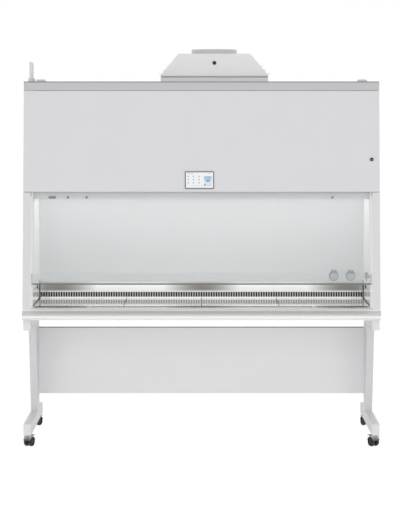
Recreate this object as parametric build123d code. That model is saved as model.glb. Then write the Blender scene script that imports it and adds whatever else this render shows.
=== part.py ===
"""A two-metre class biosafety cabinet on a wheeled stand, as an assembly of separate pieces.

Millimetres. +Z up, +X to the user's right, -Y towards the user. The origin is on the floor, under
the middle of the footprint, which runs from the armrest's nose to the back ends of the feet.
"""

import math
import os

from build123d import *

# ---------------------------------------------------------------------------
# Driving dimensions
# ---------------------------------------------------------------------------
WIDTH = 1900.0  # over the side panels and over the stand
FOOT_LENGTH = 800.0
ARMREST_REACH = 76.0  # armrest nose ahead of the feet
STAND_HEIGHT = 687.0  # floor to the top of the stand's arms
CABINET_HEIGHT = 1267.0  # stand to the top cover
CABINET_DEPTH = 746.0  # foot of the sloping front to the back panel
WORK_RISE = 59.0  # work surface above the stand
OPENING_HEIGHT = 617.0  # work surface to the lower edge of the fascia
FRONT_SLOPE = 5.5  # degrees that the front leans back

SHEET = 1.5  # wall of every folded sheet
TUBE_WALL = 2.5
SIDE_DEPTH = 41.0  # thickness of a side wall, skin to liner
CHAMBER_DEPTH = 607.0  # foot of the sloping front to the slotted back wall
CEILING_DROP = 21.0  # chamber ceiling below the fascia's edge

RUN_FIT = 0.1  # radial clearance of a turning fit
SLIDE_GAP = 0.5  # clearance of a sliding piece
REST_GAP = 0.3  # between moving pieces that nearly touch

# Levels and planes that the pieces share
HALF = WIDTH / 2
INNER = HALF - SIDE_DEPTH
LINER = INNER - SHEET  # chamber face of a side liner
Y_NOSE = -(FOOT_LENGTH + ARMREST_REACH) / 2
Y_FOOT_FRONT = Y_NOSE + ARMREST_REACH
Y_FOOT_BACK = Y_FOOT_FRONT + FOOT_LENGTH
ARMREST_NOSE = 30.0  # armrest nose ahead of the front plane
Y_FRONT = Y_NOSE + ARMREST_NOSE  # sloping front at work height
Y_BACK = Y_FRONT + CABINET_DEPTH
Y_WALL = Y_FRONT + CHAMBER_DEPTH
Z_BASE = STAND_HEIGHT
Z_WORK = Z_BASE + WORK_RISE
Z_TOP = Z_BASE + CABINET_HEIGHT
Z_FASCIA = Z_WORK + OPENING_HEIGHT
Z_CEILING = Z_FASCIA - CEILING_DROP
BAND_HEIGHT = 48.0  # upright band under the top cover
Z_BAND = Z_TOP - BAND_HEIGHT

LEAN = math.radians(FRONT_SLOPE)
# Sloping frame: x across, y inwards from the front plane, z up the slope from work height
SLOPE = Plane(origin=(0, Y_FRONT, Z_WORK), x_dir=(1, 0, 0), z_dir=(0, math.sin(LEAN), math.cos(LEAN)))


def front_y(z):
    """Y of the sloping front plane at height z."""
    return Y_FRONT + (z - Z_WORK) * math.tan(LEAN)


def up_slope(z):
    """Distance up the front plane from work height to height z."""
    return (z - Z_WORK) / math.cos(LEAN)


Y_BAND = front_y(Z_BAND)


def block(x0, x1, y0, y1, z0, z1):
    """A box between two corners."""
    return Pos((x0 + x1) / 2, (y0 + y1) / 2, (z0 + z1) / 2) * Box(x1 - x0, y1 - y0, z1 - z0)


def across(points, x0, x1):
    """A solid with this outline in (y, z), from x0 to x1."""
    outline = make_face(Polyline(*points, close=True))
    return Pos(x0, 0, 0) * extrude(Plane.YZ * outline, x1 - x0)


def through(points, y0, y1):
    """A solid with this outline in (x, z), from y0 back to y1."""
    outline = make_face(Polyline(*points, close=True))
    return Pos(0, y1, 0) * extrude(Plane.XZ * outline, y1 - y0)


def rod_x(radius, x0, x1, y, z):
    """A round bar along x."""
    return Pos((x0 + x1) / 2, y, z) * Rot(0, 90, 0) * Cylinder(radius, x1 - x0)


def rod_y(radius, y0, y1, x, z):
    """A round bar along y."""
    return Pos(x, (y0 + y1) / 2, z) * Rot(90, 0, 0) * Cylinder(radius, y1 - y0)


def rod_z(radius, z0, z1, x, y):
    """A round bar along z."""
    return Pos(x, y, (z0 + z1) / 2) * Cylinder(radius, z1 - z0)


def on_slope(shape):
    """Puts a shape that was drawn in the sloping frame into the cabinet."""
    return SLOPE.location * shape


def mirrored(shape):
    """The same piece on the other side of the cabinet."""
    return mirror(shape, about=Plane.YZ)


def solids_of(*shapes):
    """Several separate solids as one node."""
    return Compound([solid for shape in shapes for solid in shape.solids()])


# ---------------------------------------------------------------------------
# Stand: two welded side frames, a back panel between them and end caps
# ---------------------------------------------------------------------------
TUBE_WIDTH = 40.0
TUBE_HEIGHT = 60.0
CASTOR_HEIGHT = 65.0
CAP = 3.0
UPRIGHT_TOP_DEPTH = 236.0  # of the tapered upright, under the arm
UPRIGHT_FOOT_DEPTH = 90.0
UPRIGHT_SETBACK = 130.0  # back edge of the upright ahead of the cabinet's back
PANEL_HEIGHT = 373.0
PANEL_DROP = 101.0  # top of the stand's panel below the cabinet
PANEL_THICK = 20.0
STEM_RADIUS = 5.0

Z_FOOT = CASTOR_HEIGHT
Z_FOOT_TOP = Z_FOOT + TUBE_HEIGHT
Z_ARM = Z_BASE - TUBE_HEIGHT
Y_UPRIGHT = Y_BACK - UPRIGHT_SETBACK
CASTOR_INSET = 38.0  # swivel axis from the front end of the foot
CASTOR_INSET_BACK = 25.0
CASTOR_X = HALF - TUBE_WIDTH / 2
CASTOR_YS = (Y_FOOT_FRONT + CASTOR_INSET, Y_FOOT_BACK - CASTOR_INSET_BACK)


def tube(x0, x1, y0, y1, z0, z1):
    """A rectangular tube along y."""
    bore = block(x0 + TUBE_WALL, x1 - TUBE_WALL, y0, y1, z0 + TUBE_WALL, z1 - TUBE_WALL)
    return block(x0, x1, y0, y1, z0, z1) - bore


def stand_frame():
    """The right-hand side frame: arm, tapered upright and foot, welded face to face."""
    x0, x1 = HALF - TUBE_WIDTH, HALF
    arm = tube(x0, x1, Y_FOOT_FRONT + CAP, Y_BACK - CAP, Z_ARM, Z_BASE)
    foot = tube(x0, x1, Y_FOOT_FRONT + CAP, Y_FOOT_BACK - CAP, Z_FOOT, Z_FOOT_TOP)
    for y in CASTOR_YS:
        foot -= rod_z(STEM_RADIUS, Z_FOOT, Z_FOOT + TUBE_WALL, CASTOR_X, y)

    def outline(inset):
        return [
            (Y_UPRIGHT - inset, Z_FOOT_TOP),
            (Y_UPRIGHT - inset, Z_ARM),
            (Y_UPRIGHT - UPRIGHT_TOP_DEPTH + inset, Z_ARM),
            (Y_UPRIGHT - UPRIGHT_FOOT_DEPTH + inset, Z_FOOT_TOP),
        ]

    upright = across(outline(0), x0, x1) - across(outline(TUBE_WALL), x0 + TUBE_WALL, x1 - TUBE_WALL)
    return arm, upright, foot


def tube_caps():
    """Moulded plugs in the eight open tube ends."""
    plugs = []
    tube_runs = (
        (Z_ARM, Y_FOOT_FRONT, Y_BACK),
        (Z_FOOT, Y_FOOT_FRONT, Y_FOOT_BACK),
    )
    plug_depth = 12.0
    x0, x1 = HALF - TUBE_WIDTH, HALF
    for z0, y0, y1 in tube_runs:
        for outer, inner in ((y0, y0 + CAP), (y1, y1 - CAP)):
            into = math.copysign(plug_depth, inner - outer)
            ys = sorted((outer, inner))
            depth = sorted((inner, inner + into))
            plate = block(x0, x1, *ys, z0, z0 + TUBE_HEIGHT)
            spigot = block(
                x0 + TUBE_WALL, x1 - TUBE_WALL, *depth, z0 + TUBE_WALL, z0 + TUBE_HEIGHT - TUBE_WALL
            )
            plugs.append(plate + spigot)
    return plugs


def stand_panel():
    """Folded panel between the uprights, flush with their back edges."""
    x1 = HALF - TUBE_WIDTH
    z1 = Z_BASE - PANEL_DROP
    z0 = z1 - PANEL_HEIGHT
    y0, y1 = Y_UPRIGHT - PANEL_THICK, Y_UPRIGHT
    inside = block(-x1 + SHEET, x1 - SHEET, y0 + SHEET, y1, z0 + SHEET, z1 - SHEET)
    return block(-x1, x1, y0, y1, z0, z1) - inside


# ---------------------------------------------------------------------------
# Twin-wheel castors. Drawn trailing towards -y under z = 0, then swivelled and placed.
# ---------------------------------------------------------------------------
WHEEL_RADIUS = 25.0
WHEEL_WIDTH = 17.0
TRAIL = 16.0  # axle behind the swivel axis
WEB = 8.0  # thickness of the fork's web between the wheels
AXLE_RADIUS = 4.0
HEAD_RADIUS = 19.0
HEAD_THICK = 8.0
CROWN_THICK = 6.0
PEDAL_WIDTH = 28.0
PEDAL_LENGTH = 24.0
PEDAL_PIN = 2.0
SWIVEL_ANGLES = {"front_left": 155.0, "front_right": -148.0, "back_left": -30.0, "back_right": 22.0}
AXLE_Z = -(CASTOR_HEIGHT - WHEEL_RADIUS)
CROWN_TOP = -(HEAD_THICK + REST_GAP)
CROWN_BOTTOM = CROWN_TOP - CROWN_THICK
PEDAL_Y = -34.0  # pedal pivot
PEDAL_Z = CROWN_BOTTOM + 3.0
HOOD_GAP = 1.2  # wheels to the fork's hood
HOOD_THICK = 2.2


def castor_head():
    """Fixed half of the swivel: stem, plate and bearing cup."""
    stem = rod_z(STEM_RADIUS, -HEAD_THICK, TUBE_WALL, 0, 0)
    nut = rod_z(STEM_RADIUS * 1.8, TUBE_WALL, TUBE_WALL + STEM_RADIUS, 0, 0)
    cup = Pos(0, 0, -HEAD_THICK / 2) * Cone(HEAD_RADIUS, HEAD_RADIUS - 3, HEAD_THICK)
    pivot = rod_z(STEM_RADIUS, CROWN_BOTTOM - REST_GAP, -HEAD_THICK, 0, 0)
    rivet = rod_z(STEM_RADIUS + 2, CROWN_BOTTOM - REST_GAP - 2, CROWN_BOTTOM - REST_GAP, 0, 0)
    return stem + nut + cup + pivot + rivet


def castor_fork():
    """Swivelling half: a domed crown with a web between the wheels and ears for the pedal."""
    crown = rod_z(HEAD_RADIUS + 1.5, CROWN_BOTTOM, CROWN_TOP, 0, 0)
    crown = fillet(crown.edges().group_by(Axis.Z)[-1], 2.0)
    neck_y = -(TRAIL + 6)
    tongue = block(-PEDAL_WIDTH / 2, PEDAL_WIDTH / 2, PEDAL_Y + 6, -6, CROWN_BOTTOM, CROWN_TOP)
    web = across(
        [
            (-9, CROWN_BOTTOM),
            (-9, CROWN_BOTTOM - 8),
            (-TRAIL + 9, AXLE_Z - 8),
            (-TRAIL - 9, AXLE_Z - 8),
            (neck_y - 8, CROWN_BOTTOM),
        ],
        -WEB / 2,
        WEB / 2,
    )
    ears = []
    for side in (-1, 1):
        xs = sorted((side * (PEDAL_WIDTH / 2), side * (PEDAL_WIDTH / 2 - 2.5)))
        ears.append(block(*xs, PEDAL_Y - 4, PEDAL_Y + 8, CROWN_BOTTOM, CROWN_TOP))
    pin = rod_x(PEDAL_PIN, -PEDAL_WIDTH / 2, PEDAL_WIDTH / 2, PEDAL_Y, PEDAL_Z)
    half = WEB / 2 + WHEEL_WIDTH
    inside = WHEEL_RADIUS + HOOD_GAP
    hood = rod_x(inside + HOOD_THICK, -half, half, -TRAIL, AXLE_Z) - rod_x(inside, -half, half, -TRAIL, AXLE_Z)
    hood &= block(-half, half, -TRAIL - 40, -TRAIL + 40, AXLE_Z + 8, CROWN_TOP)
    fork = crown + tongue + web + hood + ears[0] + ears[1] + pin
    fork -= rod_z(STEM_RADIUS + RUN_FIT, CROWN_BOTTOM - 1, CROWN_TOP + 1, 0, 0)
    fork -= rod_z(STEM_RADIUS + 2.5, CROWN_BOTTOM - 6, CROWN_BOTTOM, 0, 0)
    return fork - rod_x(AXLE_RADIUS + RUN_FIT, -WEB, WEB, -TRAIL, AXLE_Z)


def castor_wheels():
    """Two wheels pressed on one axle: crowned tyres, dished hubs."""
    inner = WEB / 2 + 1.0
    outer = inner + WHEEL_WIDTH
    hub, dish, lip = 9.0, 4.0, 5.0
    half = make_face(
        Polyline(
            (0, AXLE_RADIUS),
            (0, 0),
            (outer - 1.5, 0),
            (outer - 1.5, hub),
            (outer - dish, hub + 1),
            (outer - dish, WHEEL_RADIUS - lip - 1),
            (outer, WHEEL_RADIUS - lip),
            (outer - 1.5, WHEEL_RADIUS - 1.5),
            (outer - 5, WHEEL_RADIUS),
            (inner + 4, WHEEL_RADIUS),
            (inner, WHEEL_RADIUS - 2.5),
            (inner, AXLE_RADIUS),
            close=True,
        )
    )
    right = revolve(Plane.XY * half, Axis.X)
    pair = right + mirror(right, about=Plane.YZ)
    return Pos(0, -TRAIL, AXLE_Z) * pair


def castor_pedal():
    """Brake pedal on its pin: a curled plate that a shoe presses on with."""
    half = PEDAL_WIDTH / 2 - 2.5 - REST_GAP
    barrel = rod_x(4.0, -half, half, PEDAL_Y, PEDAL_Z)
    plate = across(
        [
            (PEDAL_Y, PEDAL_Z + 2),
            (PEDAL_Y, PEDAL_Z + 4),
            (PEDAL_Y - PEDAL_LENGTH * 0.7, PEDAL_Z + 5),
            (PEDAL_Y - PEDAL_LENGTH, PEDAL_Z + 2),
            (PEDAL_Y - PEDAL_LENGTH, PEDAL_Z),
            (PEDAL_Y - PEDAL_LENGTH * 0.7, PEDAL_Z + 3),
        ],
        -half,
        half,
    )
    return barrel + plate - rod_x(PEDAL_PIN + RUN_FIT, -half - 1, half + 1, PEDAL_Y, PEDAL_Z)


def castor_places():
    """Name, position and swivel angle of each castor."""
    for side, x in (("left", -CASTOR_X), ("right", CASTOR_X)):
        for end, y in zip(("front", "back"), CASTOR_YS):
            name = f"{end}_{side}"
            yield name, Pos(x, y, Z_FOOT) * Rot(0, 0, SWIVEL_ANGLES[name])


# ---------------------------------------------------------------------------
# Front: the sloping frame's depths, and the sash, which rests a hand's height above the work surface
# ---------------------------------------------------------------------------
SASH_REST = 128.0  # work surface to the sash's lower edge
SASH_LENGTH = 654.0
SASH_LIP = 4.0  # of the handle, under the glass
GLASS = 5.0
GLASS_DEPTH = 14.0  # front plane to the glass
GUIDE_DEPTH = (8.0, 23.5)  # front and back faces of the sash guides
GUIDE_WIDTH = 10.5
SLOT_DEPTH = 6.0  # of the guide's slot, across the cabinet
HANDLE_HEIGHT = 60.0
HANDLE_PLATE = 4.5
FASCIA_SETBACK = 25.0  # side walls behind the front plane, above the opening
FASCIA_FLANGE = 22.0  # depth of the fascia's side returns
FASCIA_LIP = 6.0  # depth of its lower return, ahead of the sash
FASCIA_GAP = 3.0
HINGE_ROD = 1.6  # radius of the hinge pin
HINGE_ROLL = HINGE_ROD + RUN_FIT + SHEET  # outside radius of the fascia's rolled edge
HINGE_TAB = 14.0  # width of the leaves that carry the pin
HINGE_TAB_SET = 3.0  # leaf behind the turning edge
HINGE_TAB_FOOT = 10.0
HINGE_TAB_INSET = 40.0  # outer leaves from the cabinet's ends
HINGE_UP = up_slope(Z_BAND) - HINGE_ROLL - 1.0
INNER_FRONT = 27.0  # sheet behind the sash
CABLE_INSET = 46.5  # sash cables, pulleys and counterweights inside the liners
CABLE_X = LINER - CABLE_INSET
HINGE_TAB_XS = (-HALF + HINGE_TAB_INSET, 0.0, HALF - HINGE_TAB_INSET)

SASH_UP = up_slope(Z_WORK + SASH_REST)
HINGE_Y, HINGE_Z = (
    Y_FRONT + HINGE_ROLL * math.cos(LEAN) + HINGE_UP * math.sin(LEAN),
    Z_WORK - HINGE_ROLL * math.sin(LEAN) + HINGE_UP * math.cos(LEAN),
)


def sash_glass():
    """Toughened pane, sliding in the guides."""
    half = LINER - GUIDE_WIDTH + SLOT_DEPTH - SLIDE_GAP
    z0 = SASH_UP + SASH_LIP
    pane = block(-half, half, GLASS_DEPTH, GLASS_DEPTH + GLASS, z0, SASH_UP + SASH_LENGTH)
    return on_slope(pane)


def sash_handle():
    """Full-width clear plate on the pane's foot, with a grip lip and a bead under the glass."""
    half = LINER - 1.5
    inner = LINER - GUIDE_WIDTH - 2.0
    y1 = GUIDE_DEPTH[0] - SLIDE_GAP
    y0 = y1 - HANDLE_PLATE
    plate = block(-half, half, y0, y1, SASH_UP, SASH_UP + HANDLE_HEIGHT)
    spacer = block(-inner, inner, y1, GLASS_DEPTH, SASH_UP, SASH_UP + HANDLE_HEIGHT / 3)
    bead = block(-inner, inner, GLASS_DEPTH, GLASS_DEPTH + GLASS, SASH_UP, SASH_UP + SASH_LIP)
    grip = block(-inner, inner, y0 - 9, y0, SASH_UP, SASH_UP + 6)
    grip = fillet(grip.edges().filter_by(Axis.X).group_by(Axis.Y)[0], 2.5)
    return on_slope(plate + spacer + bead + grip)


def sash_guides():
    """Slotted plastic strips that the pane slides in, one on each side."""
    x1, x0 = LINER, LINER - GUIDE_WIDTH
    z1 = up_slope(Z_BAND) - 30
    strip = block(x0, x1, *GUIDE_DEPTH, 4, z1)
    slot_y0, slot_y1 = GLASS_DEPTH - SLIDE_GAP, GLASS_DEPTH + GLASS + SLIDE_GAP
    strip -= block(x0, x0 + SLOT_DEPTH, slot_y0, slot_y1, 4, z1)
    right = on_slope(strip)
    return right, mirrored(right)


def fascia():
    """Hinged front cover: skin, side returns, lower return and a rolled upper edge."""
    z0 = up_slope(Z_FASCIA) + FASCIA_GAP
    skin = block(-HALF, HALF, 0, SHEET, z0, HINGE_UP)
    lip = block(-HALF, HALF, 0, FASCIA_LIP, z0, z0 + SHEET)
    cover = skin + lip
    for side in (-1, 1):
        xs = sorted((side * HALF, side * (HALF - SHEET)))
        cover += block(*xs, 0, FASCIA_FLANGE, z0, HINGE_UP - HINGE_ROLL - 4)
    cover += rod_x(HINGE_ROLL, -HALF, HALF, HINGE_ROLL, HINGE_UP)
    for x in HINGE_TAB_XS:
        reach = HINGE_TAB / 2 + REST_GAP
        notch = HINGE_ROLL * 2
        cover -= block(x - reach, x + reach, SHEET, notch + 1, HINGE_UP - notch, HINGE_UP + notch)
    cover -= rod_x(HINGE_ROD + RUN_FIT, -HALF, HALF, HINGE_ROLL, HINGE_UP)
    cover -= Pos(LOCK_X, 0, LOCK_UP) * Rot(90, 0, 0) * Cylinder(LOCK_RADIUS, 8)
    cover -= block(SCREEN_X - 40, SCREEN_X + 40, 0, SHEET, SCREEN_UP - 20, SCREEN_UP + 20)
    return on_slope(cover)


def fascia_hinge():
    """Hinge pin on three leaves that hang from the top sheet, behind the turning edge."""
    hinge = rod_x(HINGE_ROD, -HALF + 2, HALF - 2, HINGE_Y, HINGE_Z)
    y1 = HINGE_Y + HINGE_ROLL + HINGE_TAB_SET
    y0, z1 = y1 - SHEET, Z_TOP - SHEET
    for x in HINGE_TAB_XS:
        x0, x1 = x - HINGE_TAB / 2, x + HINGE_TAB / 2
        hinge += block(x0, x1, HINGE_Y, y1, HINGE_Z - SHEET / 2, HINGE_Z + SHEET / 2)
        hinge += block(x0, x1, y0, y1, HINGE_Z - SHEET / 2, z1)
        hinge += block(x0, x1, y0, y0 + HINGE_TAB_FOOT, z1 - SHEET, z1)
    return hinge


SCREEN_X = -11.0
SCREEN_WIDTH = 155.0
SCREEN_HEIGHT = 94.0
SCREEN_RISE = 65.0  # middle of the screen above the fascia's lower edge
SCREEN_UP = up_slope(Z_FASCIA + SCREEN_RISE)
LOCK_INSET = 42.0  # from the fascia's end
LOCK_RISE = 175.0  # above the fascia's lower edge
LOCK_X = HALF - LOCK_INSET
LOCK_UP = up_slope(Z_FASCIA + LOCK_RISE)
LOCK_RADIUS = 8.0


def touch_screen():
    """Flat touch screen bonded to the fascia, with its connector box behind the cut-out."""
    half_x, half_z = SCREEN_WIDTH / 2, SCREEN_HEIGHT / 2
    screen = block(SCREEN_X - half_x, SCREEN_X + half_x, -3, 0, SCREEN_UP - half_z, SCREEN_UP + half_z)
    screen = fillet(screen.edges().filter_by(Axis.Y), 6)
    back = block(SCREEN_X - 39, SCREEN_X + 39, 0, GLASS_DEPTH - 6, SCREEN_UP - 19, SCREEN_UP + 19)
    return on_slope(screen + back)


def lock_barrel():
    """Key lock: a turning barrel with a rim, a key slot and a cam behind the fascia."""
    spin = Pos(LOCK_X, 0, LOCK_UP) * Rot(90, 0, 0)
    barrel = Pos(0, 0, -1.2) * Cylinder(LOCK_RADIUS - RUN_FIT, 9.4)
    rim = Pos(0, 0, 2) * Cylinder(LOCK_RADIUS + 1.5, 3)
    rim = fillet(rim.edges().group_by(Axis.Z)[-1], 1.0)
    cam = Pos(0, -10, -4.7) * Box(10, 32, 2)
    key = Pos(0, 0, 3) * Box(1.6, 7, 3)
    return on_slope(spin * (barrel + rim + cam - key))


# ---------------------------------------------------------------------------
# Cabinet shell
# ---------------------------------------------------------------------------
EXHAUST_WIDTH = 540.0
EXHAUST_DEPTH = 350.0
EXHAUST_HEIGHT = 120.0
HOOD_X = 70.0  # the exhaust is right of centre
HOOD_WIDTH = 584.0
HOOD_DEPTH = 390.0
HOOD_BACK_GAP = 70.0
HOOD_Y = Y_BACK - HOOD_BACK_GAP - HOOD_DEPTH / 2
BUMP = (54.0, 64.0, 11.0)  # length, depth and height of the pressed pulley covers
PULLEY_RADIUS = 22.0
PULLEY_Z = Z_TOP - SHEET - PULLEY_RADIUS - 2.5
WEIGHT_SIDE = 40.0  # of the square bar
WEIGHT_LENGTH = 610.0
WEIGHT_GAP = 0.3  # in the channel
WEIGHT_DROP = 186.0  # top of the bar below the cabinet's top, with the sash at rest
WEIGHT_TOP = Z_TOP - WEIGHT_DROP
WEIGHT_Y = Y_BACK - SHEET * 2 - WEIGHT_GAP - WEIGHT_SIDE / 2
PULLEY_YS = (Y_BAND + GLASS_DEPTH + GLASS / 2 + PULLEY_RADIUS, WEIGHT_Y - PULLEY_RADIUS)
PIPE_INSET = 35.0
PIPE_SETBACK = 80.0
PIPE_HEIGHT = 106.0
PIPE_RADIUS = 11.0
PIPE_WALL = 2.5
PIPE_FLANGE = (18.5, 18.0)  # radius and height
BACK_FOLD = 12.0
GLAND_RADIUS = 13.0  # of the mains gland's hexagon, over its corners
GLAND_BORE = 9.0
GLAND_REACH = 18.0  # behind the back panel
GLAND_INSET = 150.0  # from the cabinet's end
GLAND_DROP = 96.0  # below the top


def side_panel():
    """Right-hand side wall: a folded pan whose front edge follows the sloping front."""
    setback = FASCIA_SETBACK / math.cos(LEAN)
    outline = make_face(
        Polyline(
            (front_y(Z_BASE), Z_BASE),
            (front_y(Z_FASCIA), Z_FASCIA),
            (front_y(Z_FASCIA) + setback, Z_FASCIA),
            (Y_BAND + setback, Z_BAND),
            (Y_BAND + setback, Z_TOP - SHEET),
            (Y_BACK, Z_TOP - SHEET),
            (Y_BACK, Z_BASE),
            close=True,
        )
    )
    inside = offset(outline, -SHEET, kind=Kind.INTERSECTION)
    pan = extrude(Plane.YZ * outline, SIDE_DEPTH) - extrude(Plane.YZ * inside, SIDE_DEPTH - SHEET)
    return Pos(INNER, 0, 0) * pan


def back_panel():
    """Outer back, a shallow pan set between the side walls."""
    z1 = Z_TOP - SHEET
    y0 = Y_BACK - BACK_FOLD
    inside = block(-INNER + SHEET, INNER - SHEET, y0, Y_BACK - SHEET, Z_BASE + SHEET, z1 - SHEET)
    panel = block(-INNER, INNER, y0, Y_BACK, Z_BASE, z1) - inside
    return panel - rod_y(GLAND_BORE, Y_BACK - SHEET, Y_BACK, HALF - GLAND_INSET, Z_TOP - GLAND_DROP)


def mains_gland():
    """Hexagonal cable gland in the back panel, with its nut inside and a stopped bore."""
    at = Pos(HALF - GLAND_INSET, Y_BACK, Z_TOP - GLAND_DROP) * Rot(-90, 0, 0)
    hexagon = RegularPolygon(GLAND_RADIUS, 6)
    gland = extrude(hexagon, GLAND_REACH / 3) + extrude(Circle(GLAND_RADIUS * 0.8), GLAND_REACH)
    gland += Pos(0, 0, -SHEET) * extrude(Circle(GLAND_BORE), SHEET)
    gland += Pos(0, 0, -SHEET - GLAND_REACH / 4) * extrude(hexagon, GLAND_REACH / 4)
    return at * (gland - Pos(0, 0, GLAND_REACH / 3) * extrude(Circle(GLAND_BORE * 0.6), GLAND_REACH))


def top_cover():
    """Top sheet with the upright front band, the exhaust hole and two pressed pulley covers."""
    cover = block(-HALF, HALF, Y_BAND, Y_BACK, Z_TOP - SHEET, Z_TOP)
    cover += block(-HALF, HALF, Y_BAND, Y_BAND + SHEET, Z_BAND, Z_TOP)
    for side in (-1, 1):
        xs = sorted((side * HALF, side * (HALF - SHEET)))
        cover += block(*xs, Y_BAND, Y_BAND + FASCIA_FLANGE, Z_BAND, Z_TOP)
    half_x, half_y = EXHAUST_WIDTH / 2 - 20, EXHAUST_DEPTH / 2 - 20
    z0 = Z_TOP - SHEET
    cover -= block(HOOD_X - half_x, HOOD_X + half_x, HOOD_Y - half_y, HOOD_Y + half_y, z0, Z_TOP)
    length, depth, height = BUMP
    for x in (-CABLE_X, CABLE_X):
        at = Pos(x, PULLEY_YS[0], Z_TOP)
        dome = loft([Rectangle(length, depth), Pos(0, 0, height) * Rectangle(length - 14, depth - 14)])
        hollow = loft(
            [Rectangle(length - 3, depth - 3), Pos(0, 0, height) * Rectangle(length - 17, depth - 17)]
        )
        cover += at * dome
        cover -= Pos(0, 0, -SHEET) * at * hollow
    return cover


def sampling_pipe():
    """Flanged stub pipe on the top, with its mouth cut on the slant."""
    x, y = -HALF + PIPE_INSET, Y_BAND + PIPE_SETBACK
    z1 = Z_TOP + PIPE_HEIGHT
    radius, height = PIPE_FLANGE
    pipe = rod_z(PIPE_RADIUS, Z_TOP, z1, x, y) + rod_z(radius, Z_TOP, Z_TOP + height, x, y)
    pipe -= rod_z(PIPE_RADIUS - PIPE_WALL, Z_TOP + 6, z1, x, y)
    return pipe - Pos(x + PIPE_RADIUS, y, z1) * Rot(0, 40, 0) * Box(30, 40, 12)


# ---------------------------------------------------------------------------
# Exhaust hood: base frame, louvred hood and duct collar
# ---------------------------------------------------------------------------
HOOD_BASE = 24.0  # height of the frame under the hood
HOOD_FRAME = 6.0  # thickness of that frame
HOOD_NECK = 5.0  # height of the recessed joint between frame and hood
HOOD_NECK_SET = 5.0  # depth of the recess
HOOD_SEAT = 15.0  # width of the flange that sits on the joint
HOOD_LIP = 8.0  # upright rim at the hood's foot
HOOD_TOP = 154.0  # top of the hood above the cabinet
HOOD_TOP_WIDTH = 391.0
HOOD_TOP_DEPTH = 300.0
HOOD_SHEET = 2.2
COLLAR_RADIUS = 125.0
COLLAR_HEIGHT = 25.0
COLLAR_SEAT = 12.0  # duct hole inside the collar's radius
COLLAR_FLANGE = 8.0
LOUVRES = 3
LOUVRE_PITCH = 28.5  # up the end slopes
LOUVRE_REACH = 15.0  # that the blades stand off
LOUVRE_LENGTH = 280.0
LOUVRE_SLOT = 14.0
Z_HOOD = Z_TOP + HOOD_BASE + HOOD_NECK
Z_SLOPES = Z_HOOD + HOOD_LIP
Z_CREST = Z_TOP + HOOD_TOP


def hood_ring(outer, inner, z0, z1):
    """A rectangular ring under the hood, between two insets from the hood's foot."""
    x0, x1 = HOOD_X - HOOD_WIDTH / 2, HOOD_X + HOOD_WIDTH / 2
    y0, y1 = HOOD_Y - HOOD_DEPTH / 2, HOOD_Y + HOOD_DEPTH / 2
    ring = block(x0 + outer, x1 - outer, y0 + outer, y1 - outer, z0, z1)
    return ring - block(x0 + inner, x1 - inner, y0 + inner, y1 - inner, z0, z1)


def hood_base():
    """Open frame that the hood stands on, with a narrower joint ring on top."""
    z1 = Z_TOP + HOOD_BASE
    return hood_ring(0, HOOD_FRAME, Z_TOP, z1) + hood_ring(HOOD_NECK_SET, HOOD_SEAT, z1 - SHEET, Z_HOOD)


def exhaust_hood():
    """Pyramid hood with an upright rim, louvre blades standing off both ends and the duct hole."""

    def form(inset, z0, z1):
        """Rim and slopes, drawn in by an inset all round."""
        foot = Rectangle(HOOD_WIDTH - 2 * inset, HOOD_DEPTH - 2 * inset)
        crest = Rectangle(HOOD_TOP_WIDTH - 2 * inset, HOOD_TOP_DEPTH - 2 * inset)
        rim = Pos(0, 0, z0) * extrude(foot, Z_SLOPES - z0)
        return Pos(HOOD_X, HOOD_Y, 0) * (rim + loft([Pos(0, 0, Z_SLOPES) * foot, Pos(0, 0, z1) * crest]))

    hood = form(0, Z_HOOD, Z_CREST) - form(HOOD_SHEET, Z_HOOD + SHEET, Z_CREST - SHEET)
    hood -= form(HOOD_SEAT, Z_HOOD, Z_SLOPES + HOOD_LIP)
    hood -= rod_z(COLLAR_RADIUS - COLLAR_SEAT, Z_CREST - SHEET, Z_CREST, HOOD_X, HOOD_Y)
    hood -= PLUG_AT * Cylinder(PLUG_BORE, 20)

    lean, rise = (HOOD_WIDTH - HOOD_TOP_WIDTH) / 2, Z_CREST - Z_SLOPES
    for side in (-1, 1):
        foot = (HOOD_X + side * HOOD_WIDTH / 2, HOOD_Y, Z_SLOPES)
        end = Plane(origin=foot, x_dir=(-side * lean, 0, rise), z_dir=(side * rise, 0, lean)).location
        half = LOUVRE_LENGTH / 2
        for number in range(LOUVRES):
            up = HOOD_SHEET + LOUVRE_PITCH * number
            slot = block(up, up + LOUVRE_SLOT, 4 - half, half - 4, -HOOD_SHEET * 2, 1)
            hood -= end * slot
            hood += end * block(up - HOOD_SHEET, up, -half, half, -HOOD_SHEET / 2, LOUVRE_REACH)
    return hood


def duct_collar():
    """Round spigot that a duct slips over."""
    z1 = Z_CREST + COLLAR_HEIGHT
    ring = rod_z(COLLAR_RADIUS, Z_CREST, z1, HOOD_X, HOOD_Y)
    ring += rod_z(COLLAR_RADIUS + COLLAR_FLANGE, Z_CREST, Z_CREST + SHEET, HOOD_X, HOOD_Y)
    return ring - rod_z(COLLAR_RADIUS - SHEET, Z_CREST, z1, HOOD_X, HOOD_Y)


PLUG_RADIUS = 10.0
PLUG_BORE = 7.0
PLUG_UP = 0.56  # share of the front slope's height
PLUG_AT = Pos(
    HOOD_X,
    HOOD_Y - HOOD_DEPTH / 2 + PLUG_UP * (HOOD_DEPTH - HOOD_TOP_DEPTH) / 2,
    Z_SLOPES + PLUG_UP * (Z_CREST - Z_SLOPES),
) * Rot(math.degrees(math.atan2(Z_CREST - Z_SLOPES, (HOOD_DEPTH - HOOD_TOP_DEPTH) / 2)), 0, 0)

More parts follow.
